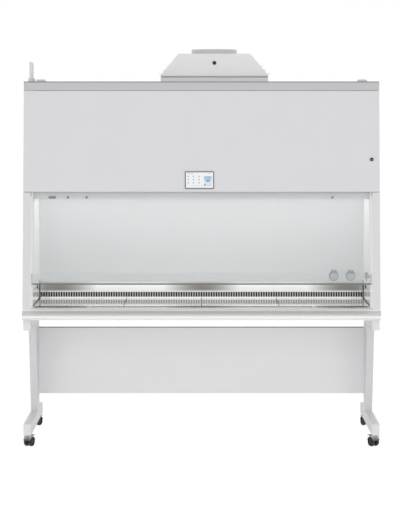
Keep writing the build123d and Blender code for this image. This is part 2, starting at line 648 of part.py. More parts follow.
# ---------------------------------------------------------------------------
# Work chamber: liners, slotted back wall, ceiling, trays, grille, base pan and armrest
# ---------------------------------------------------------------------------
SLOT_PITCH = 14.0
SLOT_WIDTH = 8.0
SLOT_HEIGHT = 27.0
SLOT_RISE = 8.0  # lower end of the slots above the work surface
ARMREST_TOP = 105.0  # depth of its level top, from the nose
ARMREST_DROP = 53.0
ARMREST_OVERHANG = 2.0  # past the side walls
GRILLE_DEPTH = 96.0
GRILLE_PITCH = 12.2
GRILLE_SLOT = (6.4, 78.0)  # across and from front to back
GRILLE_ROW = GRILLE_DEPTH / 2  # middle of the slots ahead of the trays
GRILLE_SEAM = 603.0
TRAY_SEAM = 419.0  # outer seams from the middle
TRAY_FOLD = 22.0
TRAY_GAP = 1.0
Y_GRILLE = Y_NOSE + ARMREST_TOP
Y_TRAYS = Y_GRILLE + GRILLE_DEPTH
DIFFUSER_INSET = 37.5  # opening for the diffuser, inside the liners
DIFFUSER_BACK = 20.0  # and ahead of the back wall
DIFFUSER_DEPTH = 420.0
DIFFUSER_LAP = 14.0  # diffuser past its opening
DIFFUSER_COLUMNS = 24
DIFFUSER_ROWS = 5
DIFFUSER_BORDER = 18.0
DIFFUSER_BAR = 18.0  # between the holes
DIFFUSER_HALF = LINER - DIFFUSER_INSET
Y_FILTER = Y_WALL - DIFFUSER_BACK - DIFFUSER_DEPTH / 2  # middle of the diffuser and the air path over it
LAMP_TROUGH = (44.0, 14.0)  # depth and height
LAMP_RADIUS = 5.0
LAMP_RUNS = ((-594.0, -150.0), (84.0, 656.0))
Y_CEILING = front_y(Z_CEILING) + INNER_FRONT + 0.5
PORT_RADIUS = 6.0  # of the service ports through the liners
PORT_SETBACK = 446.0
PORT_RISE = 75.0  # lower port above the work surface
PORT_PITCH = 13.0
PORT_Y = Y_FRONT + PORT_SETBACK
PORT_ZS = (Z_WORK + PORT_RISE, Z_WORK + PORT_RISE + PORT_PITCH)
SOCKET_INSET = 72.5  # right-hand socket from the liner
SOCKET_PITCH = 94.0
SOCKET_RISE = 124.0
SOCKET_RADIUS = 22.5
SOCKET_DEPTH = 18.0
SOCKET_XS = (LINER - SOCKET_INSET - SOCKET_PITCH, LINER - SOCKET_INSET)
SOCKET_Z = Z_WORK + SOCKET_RISE
LID_PIN = 1.5
LID_RISE = 8.0  # lid's pin above the socket's rim
LID_Y = Y_WALL - SOCKET_DEPTH + 1.0
LID_Z = SOCKET_Z + SOCKET_RADIUS + LID_RISE
TAP_SETBACK = 111.0
TAP_RISE = 163.0
TAP_REACH = 24.0  # tap's axis from the liner
TAP_Y = Y_FRONT + TAP_SETBACK
TAP_Z = Z_WORK + TAP_RISE
TAP_X = LINER - TAP_REACH
TAP_STEM = 3.0


def corners(x, y, width, height):
    """Corners of a rectangle about a middle."""
    return [(x + sx * width / 2, y + sy * height / 2) for sx, sy in ((-1, -1), (1, -1), (1, 1), (-1, 1))]


def pierced_plate(x0, x1, y0, y1, holes, thick):
    """A flat plate between two corners, with rectangular holes given as (x, y, width, height)."""
    outer = Wire.make_polygon([(x0, y0), (x1, y0), (x1, y1), (x0, y1)])
    inner = [Wire.make_polygon(corners(*hole)) for hole in holes]
    return extrude(Face(outer, inner), thick)


def row_of(pitch, x0, x1):
    """Evenly spaced middles between x0 and x1."""
    count = int((x1 - x0) // pitch)
    start = (x0 + x1 - (count - 1) * pitch) / 2
    return [start + pitch * number for number in range(count)]


def chamber_liner():
    """Right-hand stainless liner, which closes the side wall's pan."""
    liner = across(
        [
            (front_y(Z_BASE), Z_BASE),
            (front_y(Z_CEILING), Z_CEILING),
            (Y_BACK - BACK_FOLD, Z_CEILING),
            (Y_BACK - BACK_FOLD, Z_BASE),
        ],
        LINER,
        INNER,
    )
    for z in PORT_ZS:
        liner -= rod_x(PORT_RADIUS, LINER, INNER, PORT_Y, z)
    return liner


def chamber_back_wall():
    """Stainless back wall with a row of slots above the work surface."""
    z0 = Z_BASE + SHEET
    middle = Z_WORK + SLOT_RISE + SLOT_HEIGHT / 2
    holes = [(x, middle, SLOT_WIDTH, SLOT_HEIGHT) for x in row_of(SLOT_PITCH, -LINER, LINER)]
    plate = pierced_plate(-LINER, LINER, z0, Z_CEILING, holes, SHEET)
    return Pos(0, Y_WALL + SHEET, 0) * Rot(90, 0, 0) * plate


def ceiling_frame():
    """Ceiling sheet that the filter sits on, with the lamp trough along its front."""
    y0, y1 = Y_CEILING, Y_WALL + SHEET
    opening = (0, Y_FILTER, 2 * DIFFUSER_HALF, DIFFUSER_DEPTH)
    sheet = Pos(0, 0, Z_CEILING) * pierced_plate(-INNER, INNER, y0, y1, [opening], SHEET)
    trough = block(-LINER + 12, LINER - 12, y0, y0 + LAMP_TROUGH[0], Z_CEILING - LAMP_TROUGH[1], Z_CEILING)
    hollow = block(
        -LINER + 14, LINER - 14, y0 + 2, y0 + LAMP_TROUGH[0] - 2, Z_CEILING - LAMP_TROUGH[1], Z_CEILING
    )
    return sheet + (trough - hollow)


def lamp_tubes():
    """Fluorescent tubes with their end caps, in the trough ahead of the ceiling."""
    y = Y_CEILING + LAMP_TROUGH[0] / 2
    z = Z_CEILING - LAMP_RADIUS - 2
    tubes = []
    for x0, x1 in LAMP_RUNS:
        tube_body = rod_x(LAMP_RADIUS, x0, x1, y, z)
        for x in (x0, x1):
            tube_body += block(x - 5, x + 5, y - 6, y + 6, z, Z_CEILING)
        tubes.append(tube_body)
    return tubes


def air_diffuser():
    """Perforated sheet under the supply filter."""
    pitch_x = 2 * (DIFFUSER_HALF - DIFFUSER_BORDER) / DIFFUSER_COLUMNS
    pitch_y = (DIFFUSER_DEPTH - 2 * DIFFUSER_BORDER) / DIFFUSER_ROWS
    holes = [
        (
            pitch_x * (column - (DIFFUSER_COLUMNS - 1) / 2),
            Y_FILTER + pitch_y * (row - (DIFFUSER_ROWS - 1) / 2),
            pitch_x - DIFFUSER_BAR,
            pitch_y - DIFFUSER_BAR,
        )
        for column in range(DIFFUSER_COLUMNS)
        for row in range(DIFFUSER_ROWS)
    ]
    x, y = DIFFUSER_HALF + DIFFUSER_LAP, DIFFUSER_DEPTH / 2 + DIFFUSER_LAP
    plate = pierced_plate(-x, x, Y_FILTER - y, Y_FILTER + y, holes, SHEET)
    return Pos(0, 0, Z_CEILING - SHEET) * plate


def work_trays():
    """Four lift-out trays, side by side."""
    y0, y1 = Y_TRAYS + TRAY_GAP / 2, Y_WALL - TRAY_GAP
    seams = (-LINER, -TRAY_SEAM, 0.0, TRAY_SEAM, LINER)
    trays = []
    for x0, x1 in zip(seams, seams[1:]):
        x0, x1 = x0 + TRAY_GAP / 2, x1 - TRAY_GAP / 2
        shell = block(x0, x1, y0, y1, Z_WORK - TRAY_FOLD, Z_WORK)
        hollow = block(x0 + SHEET, x1 - SHEET, y0 + SHEET, y1 - SHEET, Z_WORK - TRAY_FOLD, Z_WORK - SHEET)
        trays.append(shell - hollow)
    return trays


def front_grille():
    """Intake grille between the armrest and the trays, in three lengths."""
    seams = (-LINER, -GRILLE_SEAM, GRILLE_SEAM, LINER)
    lengths = []
    for x0, x1 in zip(seams, seams[1:]):
        x0, x1 = x0 + TRAY_GAP / 2, x1 - TRAY_GAP / 2
        holes = [(x, Y_TRAYS - GRILLE_ROW, *GRILLE_SLOT) for x in row_of(GRILLE_PITCH, x0 + 8, x1 - 8)]
        plate = pierced_plate(x0, x1, Y_GRILLE + TRAY_GAP / 2, Y_TRAYS - TRAY_GAP / 2, holes, SHEET)
        plate = Pos(0, 0, Z_WORK - SHEET) * plate
        y0 = Y_GRILLE + TRAY_GAP / 2
        fold = block(x0, x1, y0, y0 + SHEET, Z_WORK - TRAY_FOLD, Z_WORK - SHEET)
        y1 = Y_TRAYS - TRAY_GAP / 2
        fold += block(x0, x1, y1 - SHEET, y1, Z_WORK - TRAY_FOLD, Z_WORK - SHEET)
        lengths.append(plate + fold)
    return lengths


def base_pan():
    """Drip pan that closes the cabinet's underside, with rails that carry the trays and the grille."""
    y0, y1 = front_y(Z_BASE) + SHEET, Y_BACK - BACK_FOLD
    pan = block(-LINER, LINER, y0, y1, Z_BASE, Z_BASE + SHEET)
    pan += block(-LINER, LINER, y0, y0 + SHEET, Z_BASE, Z_WORK - ARMREST_DROP + 18)
    rail_top = Z_WORK - TRAY_FOLD
    for y in (Y_GRILLE + 6, Y_TRAYS, Y_WALL - 14):
        rail = block(-LINER, LINER, y - 9, y + 9, Z_BASE, rail_top)
        pan += rail - block(-LINER, LINER, y - 9 + SHEET, y + 9 - SHEET, Z_BASE, rail_top - SHEET)
    return pan


def armrest():
    """Full-width rolled armrest, cut back where it meets the side walls."""
    x = HALF + ARMREST_OVERHANG
    bottom = Z_WORK - ARMREST_DROP
    points = [
        (Y_GRILLE, Z_WORK),
        (Y_NOSE + 34, Z_WORK),
        (Y_NOSE, Z_WORK - 26),
        (Y_NOSE, Z_WORK - 45),
        (Y_NOSE + 13, bottom),
        (front_y(bottom), bottom),
        (front_y(bottom), bottom + 20),
        (Y_GRILLE, bottom + 40),
    ]
    outline = make_face(Polyline(*points, close=True))
    nose = [v for v in outline.vertices() if v.X < Y_NOSE + 14 or v.Y > Z_WORK - 1 and v.X < Y_GRILLE]
    outline = fillet(nose, 9)
    body = Pos(-x, 0, 0) * extrude(Plane.YZ * outline, 2 * x)
    plan = block(-x, x, Y_NOSE, Y_GRILLE + 1, bottom - 1, Z_WORK + 1)
    body &= fillet(plan.edges().filter_by(Axis.Z).group_by(Axis.Y)[0], 16)
    for side in (-1, 1):
        xs = sorted((side * LINER, side * (x + 1)))
        body -= across(
            [
                (front_y(bottom - 1), bottom - 1),
                (front_y(Z_WORK + 1), Z_WORK + 1),
                (Y_GRILLE + 1, Z_WORK + 1),
                (Y_GRILLE + 1, bottom - 1),
            ],
            *xs,
        )
    y0 = front_y(Z_BASE)
    hollow = across(
        [
            (Y_GRILLE - SHEET, Z_WORK - SHEET),
            (Y_NOSE + 35, Z_WORK - SHEET),
            (Y_NOSE + 2, Z_WORK - 27),
            (Y_NOSE + 2, Z_WORK - 44),
            (Y_NOSE + 14, bottom + SHEET),
            (Y_NOSE + 14, bottom - 1),
            (y0 + SHEET * 2, bottom - 1),
            (y0 + SHEET * 2, bottom + 18),
            (Y_GRILLE - SHEET, bottom + 38),
        ],
        -LINER + 20,
        LINER - 20,
    )
    return body - hollow


# ---------------------------------------------------------------------------
# Fittings in the chamber
# ---------------------------------------------------------------------------
SENSORS = (  # middle across and half width of each head
    (110.5 - LINER, 21.0),
    (194.5 - LINER, 7.0),
    (294.5 - LINER, 7.0),
    (LINER - 208.5, 7.0),
)


def ceiling_sensors():
    """Small sensor heads on the front of the lamp trough."""
    z, half = Z_CEILING - LAMP_TROUGH[1] / 2, LAMP_TROUGH[1] / 2 - 0.5
    heads = []
    for x, reach in SENSORS:
        head = block(x - reach, x + reach, Y_CEILING - 5, Y_CEILING, z - half, z + half)
        heads.append(fillet(head.edges().filter_by(Axis.Y), half - 0.2))
    return heads


def socket_bodies():
    """Round splash-proof mains sockets with hinge ears."""
    bodies = []
    for x in SOCKET_XS:
        y0 = Y_WALL - SOCKET_DEPTH
        body = rod_y(SOCKET_RADIUS, y0, Y_WALL, x, SOCKET_Z)
        body += block(x - 14, x + 14, y0 + 4, Y_WALL, SOCKET_Z, LID_Z)
        body -= rod_y(SOCKET_RADIUS - 4, y0 - 1, y0 + 12, x, SOCKET_Z)
        for side in (-1, 1):
            body += rod_y(2.4, y0 + 6, y0 + 12, x + side * 9.5, SOCKET_Z)
            xs = sorted((x + side * 10, x + side * 14))
            body += block(*xs, LID_Y - 3, y0 + 5, LID_Z - 6, LID_Z + 4)
        body += rod_x(LID_PIN, x - 14, x + 14, LID_Y, LID_Z)
        body -= rod_x(4.6, x - 10, x + 10, LID_Y, LID_Z) - rod_x(LID_PIN, x - 10, x + 10, LID_Y, LID_Z)
        bodies.append(body)
    return bodies


def socket_lid(x):
    """Flip-up lid: a domed disc, its tongue and the hinge barrel."""
    y1 = Y_WALL - SOCKET_DEPTH - REST_GAP
    disc = rod_y(SOCKET_RADIUS - 1, y1 - 5, y1, x, SOCKET_Z)
    disc = fillet(disc.edges().group_by(Axis.Y)[0], 2.5)
    half = 10 - REST_GAP
    tongue = block(x - half, x + half, y1 - 4, y1, SOCKET_Z, LID_Z)
    barrel = rod_x(4.0, x - half, x + half, LID_Y, LID_Z)
    return disc + tongue + barrel - rod_x(LID_PIN + RUN_FIT, x - half, x + half, LID_Y, LID_Z)


def gas_valve():
    """Gas outlet on the right wall: rosette, body, a stem for the handle and a hose nozzle."""
    valve = rod_x(15.0, LINER - 4, LINER, TAP_Y, TAP_Z)
    valve += rod_x(7.0, TAP_X, LINER, TAP_Y, TAP_Z)
    valve += rod_z(9.0, TAP_Z - 9, TAP_Z + 9, TAP_X, TAP_Y)
    valve += rod_z(TAP_STEM, TAP_Z, TAP_Z + 20, TAP_X, TAP_Y)
    for number in range(3):
        valve += Pos(TAP_X, TAP_Y, TAP_Z - 11.5 - 5 * number) * Cone(3.2, 4.6, 5)
    return valve


def gas_handle():
    """Lever knob on the tap's stem."""
    z0 = TAP_Z + 9 + REST_GAP
    knob = rod_z(8.0, z0, z0 + 13, TAP_X, TAP_Y)
    knob += block(TAP_X - 4, TAP_X + 4, TAP_Y - 24, TAP_Y, z0 + 4, z0 + 12)
    return knob - rod_z(TAP_STEM + RUN_FIT, z0, TAP_Z + 20 + REST_GAP, TAP_X, TAP_Y)


def service_plugs():
    """Stacked rubber plugs in the liners' service ports, the hood's plug and the mains gland."""
    plugs = []
    for z in PORT_ZS:
        plug = rod_x(PORT_RADIUS, LINER, INNER, PORT_Y, z) + rod_x(PORT_RADIUS + 0.3, LINER - 4, LINER, PORT_Y, z)
        plugs += [plug, mirrored(plug)]
    hood_plug = Pos(0, 0, 2.5) * Cylinder(PLUG_RADIUS, 5) + Pos(0, 0, -1) * Cylinder(PLUG_BORE, 2)
    return [*plugs, PLUG_AT * hood_plug, mains_gland()]


# ---------------------------------------------------------------------------
# Air path above the ceiling: filters, pressure plenum and two blowers
# ---------------------------------------------------------------------------
FILTER_LAP = 20.0  # filter cell past the diffuser's opening, at the ends
FILTER_MARGIN = 15.0  # and at the front and back
FILTER_HEIGHT = 90.0
FILTER_WALL = 18.0
FILTER_RECESS = 12.0  # of the pack, from both faces
PLENUM_HEIGHT = 110.0
BLOWER_XS = (-450.0, 450.0)
BLOWER_WIDTH = 360.0
BLOWER_HEIGHT = 150.0
BLOWER_OUTLET = 240.0
WHEEL_HUB = 14.0
FAN_RADIUS = 115.0
FAN_BLADES = 12
FAN_BLADE = (24.0, 2.0, 80.0)  # chord, thickness and height
FAN_BLADE_TURN = 35.0
FAN_DISC = 3.0
FAN_HUB_HEIGHT = 16.0
FAN_SHAFT = 6.0
MOTOR_RADIUS = 40.0
MOTOR_HEIGHT = 30.0
MOTOR_GAP = 2.0  # motor to wheel
Z_FILTER = Z_CEILING + SHEET
Z_PLENUM = Z_FILTER + FILTER_HEIGHT
Z_BLOWER = Z_PLENUM + PLENUM_HEIGHT
FILTER_HALF = DIFFUSER_HALF + FILTER_LAP
FILTER_REACH = DIFFUSER_DEPTH / 2 + FILTER_MARGIN


def framed_filter(x0, x1, y0, y1, z0, z1):
    """Filter cell: a frame around a pack that sits back from both faces."""
    wall = FILTER_WALL
    cell = block(x0, x1, y0, y1, z0, z1)
    for z in ((z0, z0 + FILTER_RECESS), (z1 - FILTER_RECESS, z1)):
        cell -= block(x0 + wall, x1 - wall, y0 + wall, y1 - wall, *z)
    return cell


def supply_filter():
    """Filter cell over the chamber."""
    ys = (Y_FILTER - FILTER_REACH, Y_FILTER + FILTER_REACH)
    return framed_filter(-FILTER_HALF, FILTER_HALF, *ys, Z_FILTER, Z_PLENUM)


def exhaust_filter():
    """Filter cell under the hood."""
    half_x, half_y = EXHAUST_WIDTH / 2, EXHAUST_DEPTH / 2
    z1 = Z_TOP - SHEET
    xs, ys = (HOOD_X - half_x, HOOD_X + half_x), (HOOD_Y - half_y, HOOD_Y + half_y)
    return framed_filter(*xs, *ys, z1 - EXHAUST_HEIGHT, z1)


def blower_plenum():
    """Pressure box on the supply filter, with a scroll box for each blower on its lid."""
    y0, y1 = Y_FILTER - FILTER_REACH, Y_FILTER + FILTER_REACH
    box = block(-FILTER_HALF, FILTER_HALF, y0, y1, Z_PLENUM, Z_BLOWER)
    box -= block(
        -FILTER_HALF + SHEET, FILTER_HALF - SHEET, y0 + SHEET, y1 - SHEET, Z_PLENUM, Z_BLOWER - SHEET
    )
    half = BLOWER_WIDTH / 2
    for x in BLOWER_XS:
        z1 = Z_BLOWER + BLOWER_HEIGHT
        box += block(x - half, x + half, Y_FILTER - half, Y_FILTER + half, Z_BLOWER, z1)
        inner = half - SHEET
        box -= block(x - inner, x + inner, Y_FILTER - inner, Y_FILTER + inner, Z_BLOWER, z1 - SHEET)
        box -= rod_z(FAN_RADIUS - FAN_BLADE[0], z1 - SHEET, z1, x, Y_FILTER)
        outlet = (Y_FILTER + FAN_RADIUS + 5, Y_FILTER + half - 8)
        box -= block(x - BLOWER_OUTLET / 2, x + BLOWER_OUTLET / 2, *outlet, Z_BLOWER - SHEET, Z_BLOWER)
    return box


def blower_motors():
    """Motors on the scroll boxes' floors, with their shafts."""
    motors = []
    z1 = Z_BLOWER + MOTOR_HEIGHT
    for x in BLOWER_XS:
        motor = rod_z(MOTOR_RADIUS, Z_BLOWER, z1, x, Y_FILTER)
        motors.append(motor + rod_z(FAN_SHAFT, Z_BLOWER, z1 + MOTOR_GAP + FAN_HUB_HEIGHT + 6, x, Y_FILTER))
    return motors


def fan_wheel(x):
    """Radial wheel: hub, back disc, slanted blades and an inlet ring."""
    z0 = Z_BLOWER + MOTOR_HEIGHT + MOTOR_GAP
    z1 = z0 + FAN_HUB_HEIGHT
    wheel = rod_z(FAN_RADIUS, z0, z0 + FAN_DISC, x, Y_FILTER) + rod_z(WHEEL_HUB, z0, z1, x, Y_FILTER)
    chord, thick, high = FAN_BLADE
    blade = Pos(FAN_RADIUS - chord * 0.6, 0, 0) * Rot(0, 0, FAN_BLADE_TURN) * Box(chord, thick, high)
    at = Pos(x, Y_FILTER, z0 + FAN_DISC + high / 2)
    for number in range(FAN_BLADES):
        wheel += at * Rot(0, 0, 360 * number / FAN_BLADES) * blade
    z2 = z0 + FAN_DISC + high
    ring = rod_z(FAN_RADIUS, z2, z2 + SHEET, x, Y_FILTER)
    ring -= rod_z(FAN_RADIUS - chord - 2, z2, z2 + SHEET, x, Y_FILTER)
    return wheel + ring - rod_z(FAN_SHAFT + RUN_FIT, z0, z1, x, Y_FILTER)


def inner_front_panel():
    """Sheet behind the raised sash, from the ceiling to the top cover, notched for the pulleys."""
    z0, z1 = Z_CEILING + SHEET, Z_TOP - SHEET
    y0, y1 = front_y(z0) + INNER_FRONT + 0.5, front_y(z1) + INNER_FRONT + 0.5
    panel = across([(y0, z0), (y0 + SHEET, z0), (y1 + SHEET, z1), (y1, z1)], -INNER, INNER)
    for x in (-CABLE_X, CABLE_X):
        panel -= block(x - 34, x + 34, y0, y1 + 10, PULLEY_Z - PULLEY_RADIUS - 6, z1)
    return panel


# ---------------------------------------------------------------------------
# Sash balance: pulleys, brackets, counterweights and their channels
# ---------------------------------------------------------------------------
PULLEY_WIDTH = 9.0
PULLEY_PIN = 4.0
CHEEK = 2.0
CHANNEL_FOOT = 120.0  # lower end of the counterweights' channels above the cabinet's base
CHANNEL_DROP = 55.0  # upper end below the top


def pulley(x, y):
    """Grooved pulley on a pin along x."""
    half = PULLEY_WIDTH / 2
    profile = make_face(
        Polyline(
            (-half, PULLEY_PIN + RUN_FIT),
            (half, PULLEY_PIN + RUN_FIT),
            (half, PULLEY_RADIUS),
            (0, PULLEY_RADIUS - 4),
            (-half, PULLEY_RADIUS),
            close=True,
        )
    )
    return Pos(x, y, PULLEY_Z) * revolve(Plane.XY * profile, Axis.X)


def sash_brackets():
    """Pulley brackets under the top cover, and the strips that hold the guides' upper lengths."""
    brackets = []
    z1 = Z_TOP - SHEET
    cheek = PULLEY_WIDTH / 2 + REST_GAP
    for x in (-CABLE_X, CABLE_X):
        for y in PULLEY_YS:
            bracket = block(x - 32, x + 32, y - 15, y + 15, z1 - CHEEK, z1)
            for side in (-1, 1):
                xs = sorted((x + side * cheek, x + side * (cheek + CHEEK)))
                bracket += block(*xs, y - 8, y + 8, PULLEY_Z - 8, z1)
            reach = cheek + CHEEK
            brackets.append(bracket + rod_x(PULLEY_PIN, x - reach, x + reach, y, PULLEY_Z))
    z0, z1 = up_slope(Z_FASCIA) + 6, up_slope(Z_BAND) - 30
    strip = on_slope(block(LINER - GUIDE_WIDTH, HALF - 6, GUIDE_DEPTH[1], FASCIA_SETBACK, z0, z1))
    return brackets + [strip, mirrored(strip)]


def counterweight():
    """Right-hand steel bar with an eye on top."""
    bar = Pos(CABLE_X, WEIGHT_Y, WEIGHT_TOP - WEIGHT_LENGTH / 2) * Box(WEIGHT_SIDE, WEIGHT_SIDE, WEIGHT_LENGTH)
    eye = rod_x(7.0, CABLE_X - 3, CABLE_X + 3, WEIGHT_Y, WEIGHT_TOP + 4)
    return bar + (eye - rod_x(3.0, CABLE_X - 3, CABLE_X + 3, WEIGHT_Y, WEIGHT_TOP + 4))


def weight_channels():
    """Channels on the back panel that the counterweights run in."""
    x, half = CABLE_X, WEIGHT_SIDE / 2 + WEIGHT_GAP
    y1 = Y_BACK - SHEET
    y0 = WEIGHT_Y + WEIGHT_SIDE / 2 + WEIGHT_GAP
    z0, z1 = Z_BASE + CHANNEL_FOOT, Z_TOP - CHANNEL_DROP
    channel = block(x - half - SHEET, x + half + SHEET, y0, y1, z0, z1)
    for side in (-1, 1):
        xs = sorted((x + side * half, x + side * (half + SHEET)))
        channel += block(*xs, WEIGHT_Y - 4, y1, z0, z1)
    return channel, mirrored(channel)


# ---------------------------------------------------------------------------
# Nodes
# ---------------------------------------------------------------------------
def build_nodes():
    """Every node by name."""
    side, liner = side_panel(), chamber_liner()
    arm, upright, foot = stand_frame()
    caps = tube_caps()
    nodes = {
        "side_panels": solids_of(side, mirrored(side)),
        "back_panel": back_panel(),
        "top_cover": top_cover(),
        "sampling_pipe": sampling_pipe(),
        "hood_base": hood_base(),
        "exhaust_hood": exhaust_hood(),
        "duct_collar": duct_collar(),
        "chamber_liners": solids_of(liner, mirrored(liner)),
        "chamber_back_wall": chamber_back_wall(),
        "ceiling_frame": ceiling_frame(),
        "air_diffuser": air_diffuser(),
        "lamp_tubes": solids_of(*lamp_tubes()),
        "ceiling_sensors": solids_of(*ceiling_sensors()),
        "work_trays": solids_of(*work_trays()),
        "front_grille": solids_of(*front_grille()),
        "base_pan": base_pan(),
        "armrest": armrest(),
        "socket_bodies": solids_of(*socket_bodies()),
        "gas_valve": gas_valve(),
        "gas_handle": gas_handle(),
        "service_plugs": solids_of(*service_plugs()),
        "supply_filter": supply_filter(),
        "exhaust_filter": exhaust_filter(),
        "blower_plenum": blower_plenum(),
        "blower_motors": solids_of(*blower_motors()),
        "inner_front_panel": inner_front_panel(),
        "fascia": fascia(),
        "fascia_hinge": fascia_hinge(),
        "touch_screen": touch_screen(),
        "lock_barrel": lock_barrel(),
        "sash_glass": sash_glass(),
        "sash_handle": sash_handle(),
        "sash_guides": solids_of(*sash_guides()),
        "sash_brackets": solids_of(*sash_brackets()),
        "weight_channels": solids_of(*weight_channels()),
        "counterweight_right": counterweight(),
        "counterweight_left": mirrored(counterweight()),
        "stand_side_right": solids_of(arm, upright, foot),
        "stand_side_left": solids_of(*(mirrored(piece) for piece in (arm, upright, foot))),
        "tube_caps": solids_of(*caps, *(mirrored(cap) for cap in caps)),
        "stand_panel": stand_panel(),
    }
    for name, x in zip(("left", "right"), SOCKET_XS):
        nodes[f"socket_lid_{name}"] = socket_lid(x)
    for name, x in zip(("left", "right"), BLOWER_XS):
        nodes[f"fan_{name}"] = fan_wheel(x)
    for side_name, x in (("left", -CABLE_X), ("right", CABLE_X)):
        for end, y in zip(("front", "back"), PULLEY_YS):
            nodes[f"pulley_{end}_{side_name}"] = pulley(x, y)
    fork, wheels, pedal = castor_fork(), castor_wheels(), castor_pedal()
    heads = []
    for name, place in castor_places():
        heads.append(place * castor_head())
        nodes[f"castor_fork_{name}"] = place * fork
        nodes[f"castor_wheels_{name}"] = place * wheels
        if name.startswith("front"):
            nodes[f"castor_pedal_{name}"] = place * pedal
    nodes["castor_heads"] = solids_of(*heads)
    return nodes


os.makedirs("parts", exist_ok=True)
for node_name, node_shape in build_nodes().items():
    export_step(node_shape, f"parts/{node_name}.step")
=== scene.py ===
"""A wide biosafety cabinet on a wheeled stand: sheet-steel body, glass sash, stainless chamber."""

import math

import bmesh
import bpy
from mathutils import Matrix, Vector


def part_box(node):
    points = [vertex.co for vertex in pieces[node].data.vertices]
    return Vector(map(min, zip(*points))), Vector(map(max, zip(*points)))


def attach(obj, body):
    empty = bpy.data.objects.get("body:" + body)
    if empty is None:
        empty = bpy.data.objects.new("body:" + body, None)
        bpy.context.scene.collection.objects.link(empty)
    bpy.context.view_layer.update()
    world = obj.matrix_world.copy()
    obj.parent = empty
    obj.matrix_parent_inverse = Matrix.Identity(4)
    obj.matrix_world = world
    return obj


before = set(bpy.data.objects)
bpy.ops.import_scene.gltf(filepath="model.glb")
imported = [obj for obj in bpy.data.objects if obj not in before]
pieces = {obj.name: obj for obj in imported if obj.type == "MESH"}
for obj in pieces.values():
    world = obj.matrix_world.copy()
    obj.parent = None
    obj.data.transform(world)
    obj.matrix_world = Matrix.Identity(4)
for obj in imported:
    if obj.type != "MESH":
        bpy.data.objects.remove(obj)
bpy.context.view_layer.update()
MM = 0.001

# Stand
# Two welded frames of rectangular steel tube and a folded sheet between them. All of it is
# powder coated: sprayed dry and baked, which leaves a soft satin skin with a faint orange peel.


def linear(colour):
    """A written sRGB colour as the linear values that a shader takes."""
    channels = [int(colour[i : i + 2], 16) / 255 for i in (1, 3, 5)]
    levels = (c / 12.92 if c <= 0.04045 else ((c + 0.055) / 1.055) ** 2.4 for c in channels)
    return (*levels, 1.0)


def add_node(material, kind, values=None, links=None, **settings):
    """Adds one shader node with its settings, socket values and incoming links."""
    node = material.node_tree.nodes.new(kind)
    for name, value in settings.items():
        setattr(node, name, value)
    for socket, value in (values or {}).items():
        node.inputs[socket].default_value = value
    for socket, source in (links or {}).items():
        material.node_tree.links.new(source, node.inputs[socket])
    return node


def surface_of(name):
    """A new material, its main shader and a function that links into that shader."""
    material = bpy.data.materials.new(name)
    material.use_nodes = True
    shader = material.node_tree.nodes["Principled BSDF"]

    def feed(socket, source):
        material.node_tree.links.new(source, shader.inputs[socket])

    return material, shader, feed


def coat(material, *names):
    """Gives the named CAD pieces this material."""
    for name in names:
        mesh = pieces[name].data
        mesh.materials.clear()
        mesh.materials.append(material)


# Powder coat on steel: grains of resin that flowed together while they baked. The eye sees an
# even pale grey, a soft wide highlight, and small hills about 1.5 mm across that break it up.
powder_coat, shader, feed = surface_of("powder coat light grey")
place = add_node(powder_coat, "ShaderNodeTexCoord").outputs["Object"]
cloud = add_node(
    powder_coat,
    "ShaderNodeTexNoise",
    values={"Scale": 1 / (180 * MM), "Detail": 3.0},
    links={"Vector": place},
)
tone = add_node(powder_coat, "ShaderNodeValToRGB", links={"Fac": cloud.outputs["Fac"]})
tone.color_ramp.elements[0].color = linear("#DDDCDF")
tone.color_ramp.elements[1].color = linear("#E1E0E3")
feed("Base Color", tone.outputs["Color"])
peel = add_node(
    powder_coat,
    "ShaderNodeTexNoise",
    values={"Scale": 1 / (1.5 * MM), "Detail": 2.0},
    links={"Vector": place},
)
hills = add_node(
    powder_coat,
    "ShaderNodeBump",
    values={"Strength": 0.08, "Distance": 0.05 * MM},
    links={"Height": peel.outputs["Fac"]},
)
feed("Normal", hills.outputs["Normal"])
shine = add_node(
    powder_coat,
    "ShaderNodeMapRange",
    values={"To Min": 0.36, "To Max": 0.46},
    links={"Value": peel.outputs["Fac"]},
)
feed("Roughness", shine.outputs["Result"])
shader.inputs["IOR"].default_value = 1.5
coat(powder_coat, "stand_side_left", "stand_side_right")


def shade_of(material, name, dark, light):
    """A copy of a material in another shade: its first colour ramp runs from dark to light."""
    shade = material.copy()
    shade.name = name
    ramp = next(node for node in shade.node_tree.nodes if node.type == "VALTORGB").color_ramp
    ramp.elements[0].color = linear(dark)
    ramp.elements[1].color = linear(light)
    return shade


# The panel between the frames takes a paler copy of the same powder coat: painted light that
# lifts the shade it gets under the cabinet.
panel_lit_coat = shade_of(powder_coat, "powder coat pale grey", "#ECECED", "#F0F0F1")
coat(panel_lit_coat, "stand_panel")

# Tube caps
# Polyethylene plugs, injection moulded and pressed into the eight open ends of the tubes. The
# mould is spark-eroded, so the faces have a fine matt grain and a warmer white than the coat.
moulded_white, shader, feed = surface_of("moulded white polyethylene")
place = add_node(moulded_white, "ShaderNodeTexCoord").outputs["Object"]
grain = add_node(
    moulded_white,
    "ShaderNodeTexNoise",
    values={"Scale": 1 / (0.9 * MM), "Detail": 2.0},
    links={"Vector": place},
)
tone = add_node(moulded_white, "ShaderNodeValToRGB", links={"Fac": grain.outputs["Fac"]})
tone.color_ramp.elements[0].color = linear("#E8E8E5")
tone.color_ramp.elements[1].color = linear("#EEEEEB")
feed("Base Color", tone.outputs["Color"])
pits = add_node(
    moulded_white,
    "ShaderNodeBump",
    values={"Strength": 0.15, "Distance": 0.04 * MM},
    links={"Height": grain.outputs["Fac"]},
)
feed("Normal", pits.outputs["Normal"])
shader.inputs["Roughness"].default_value = 0.5
coat(moulded_white, "tube_caps")

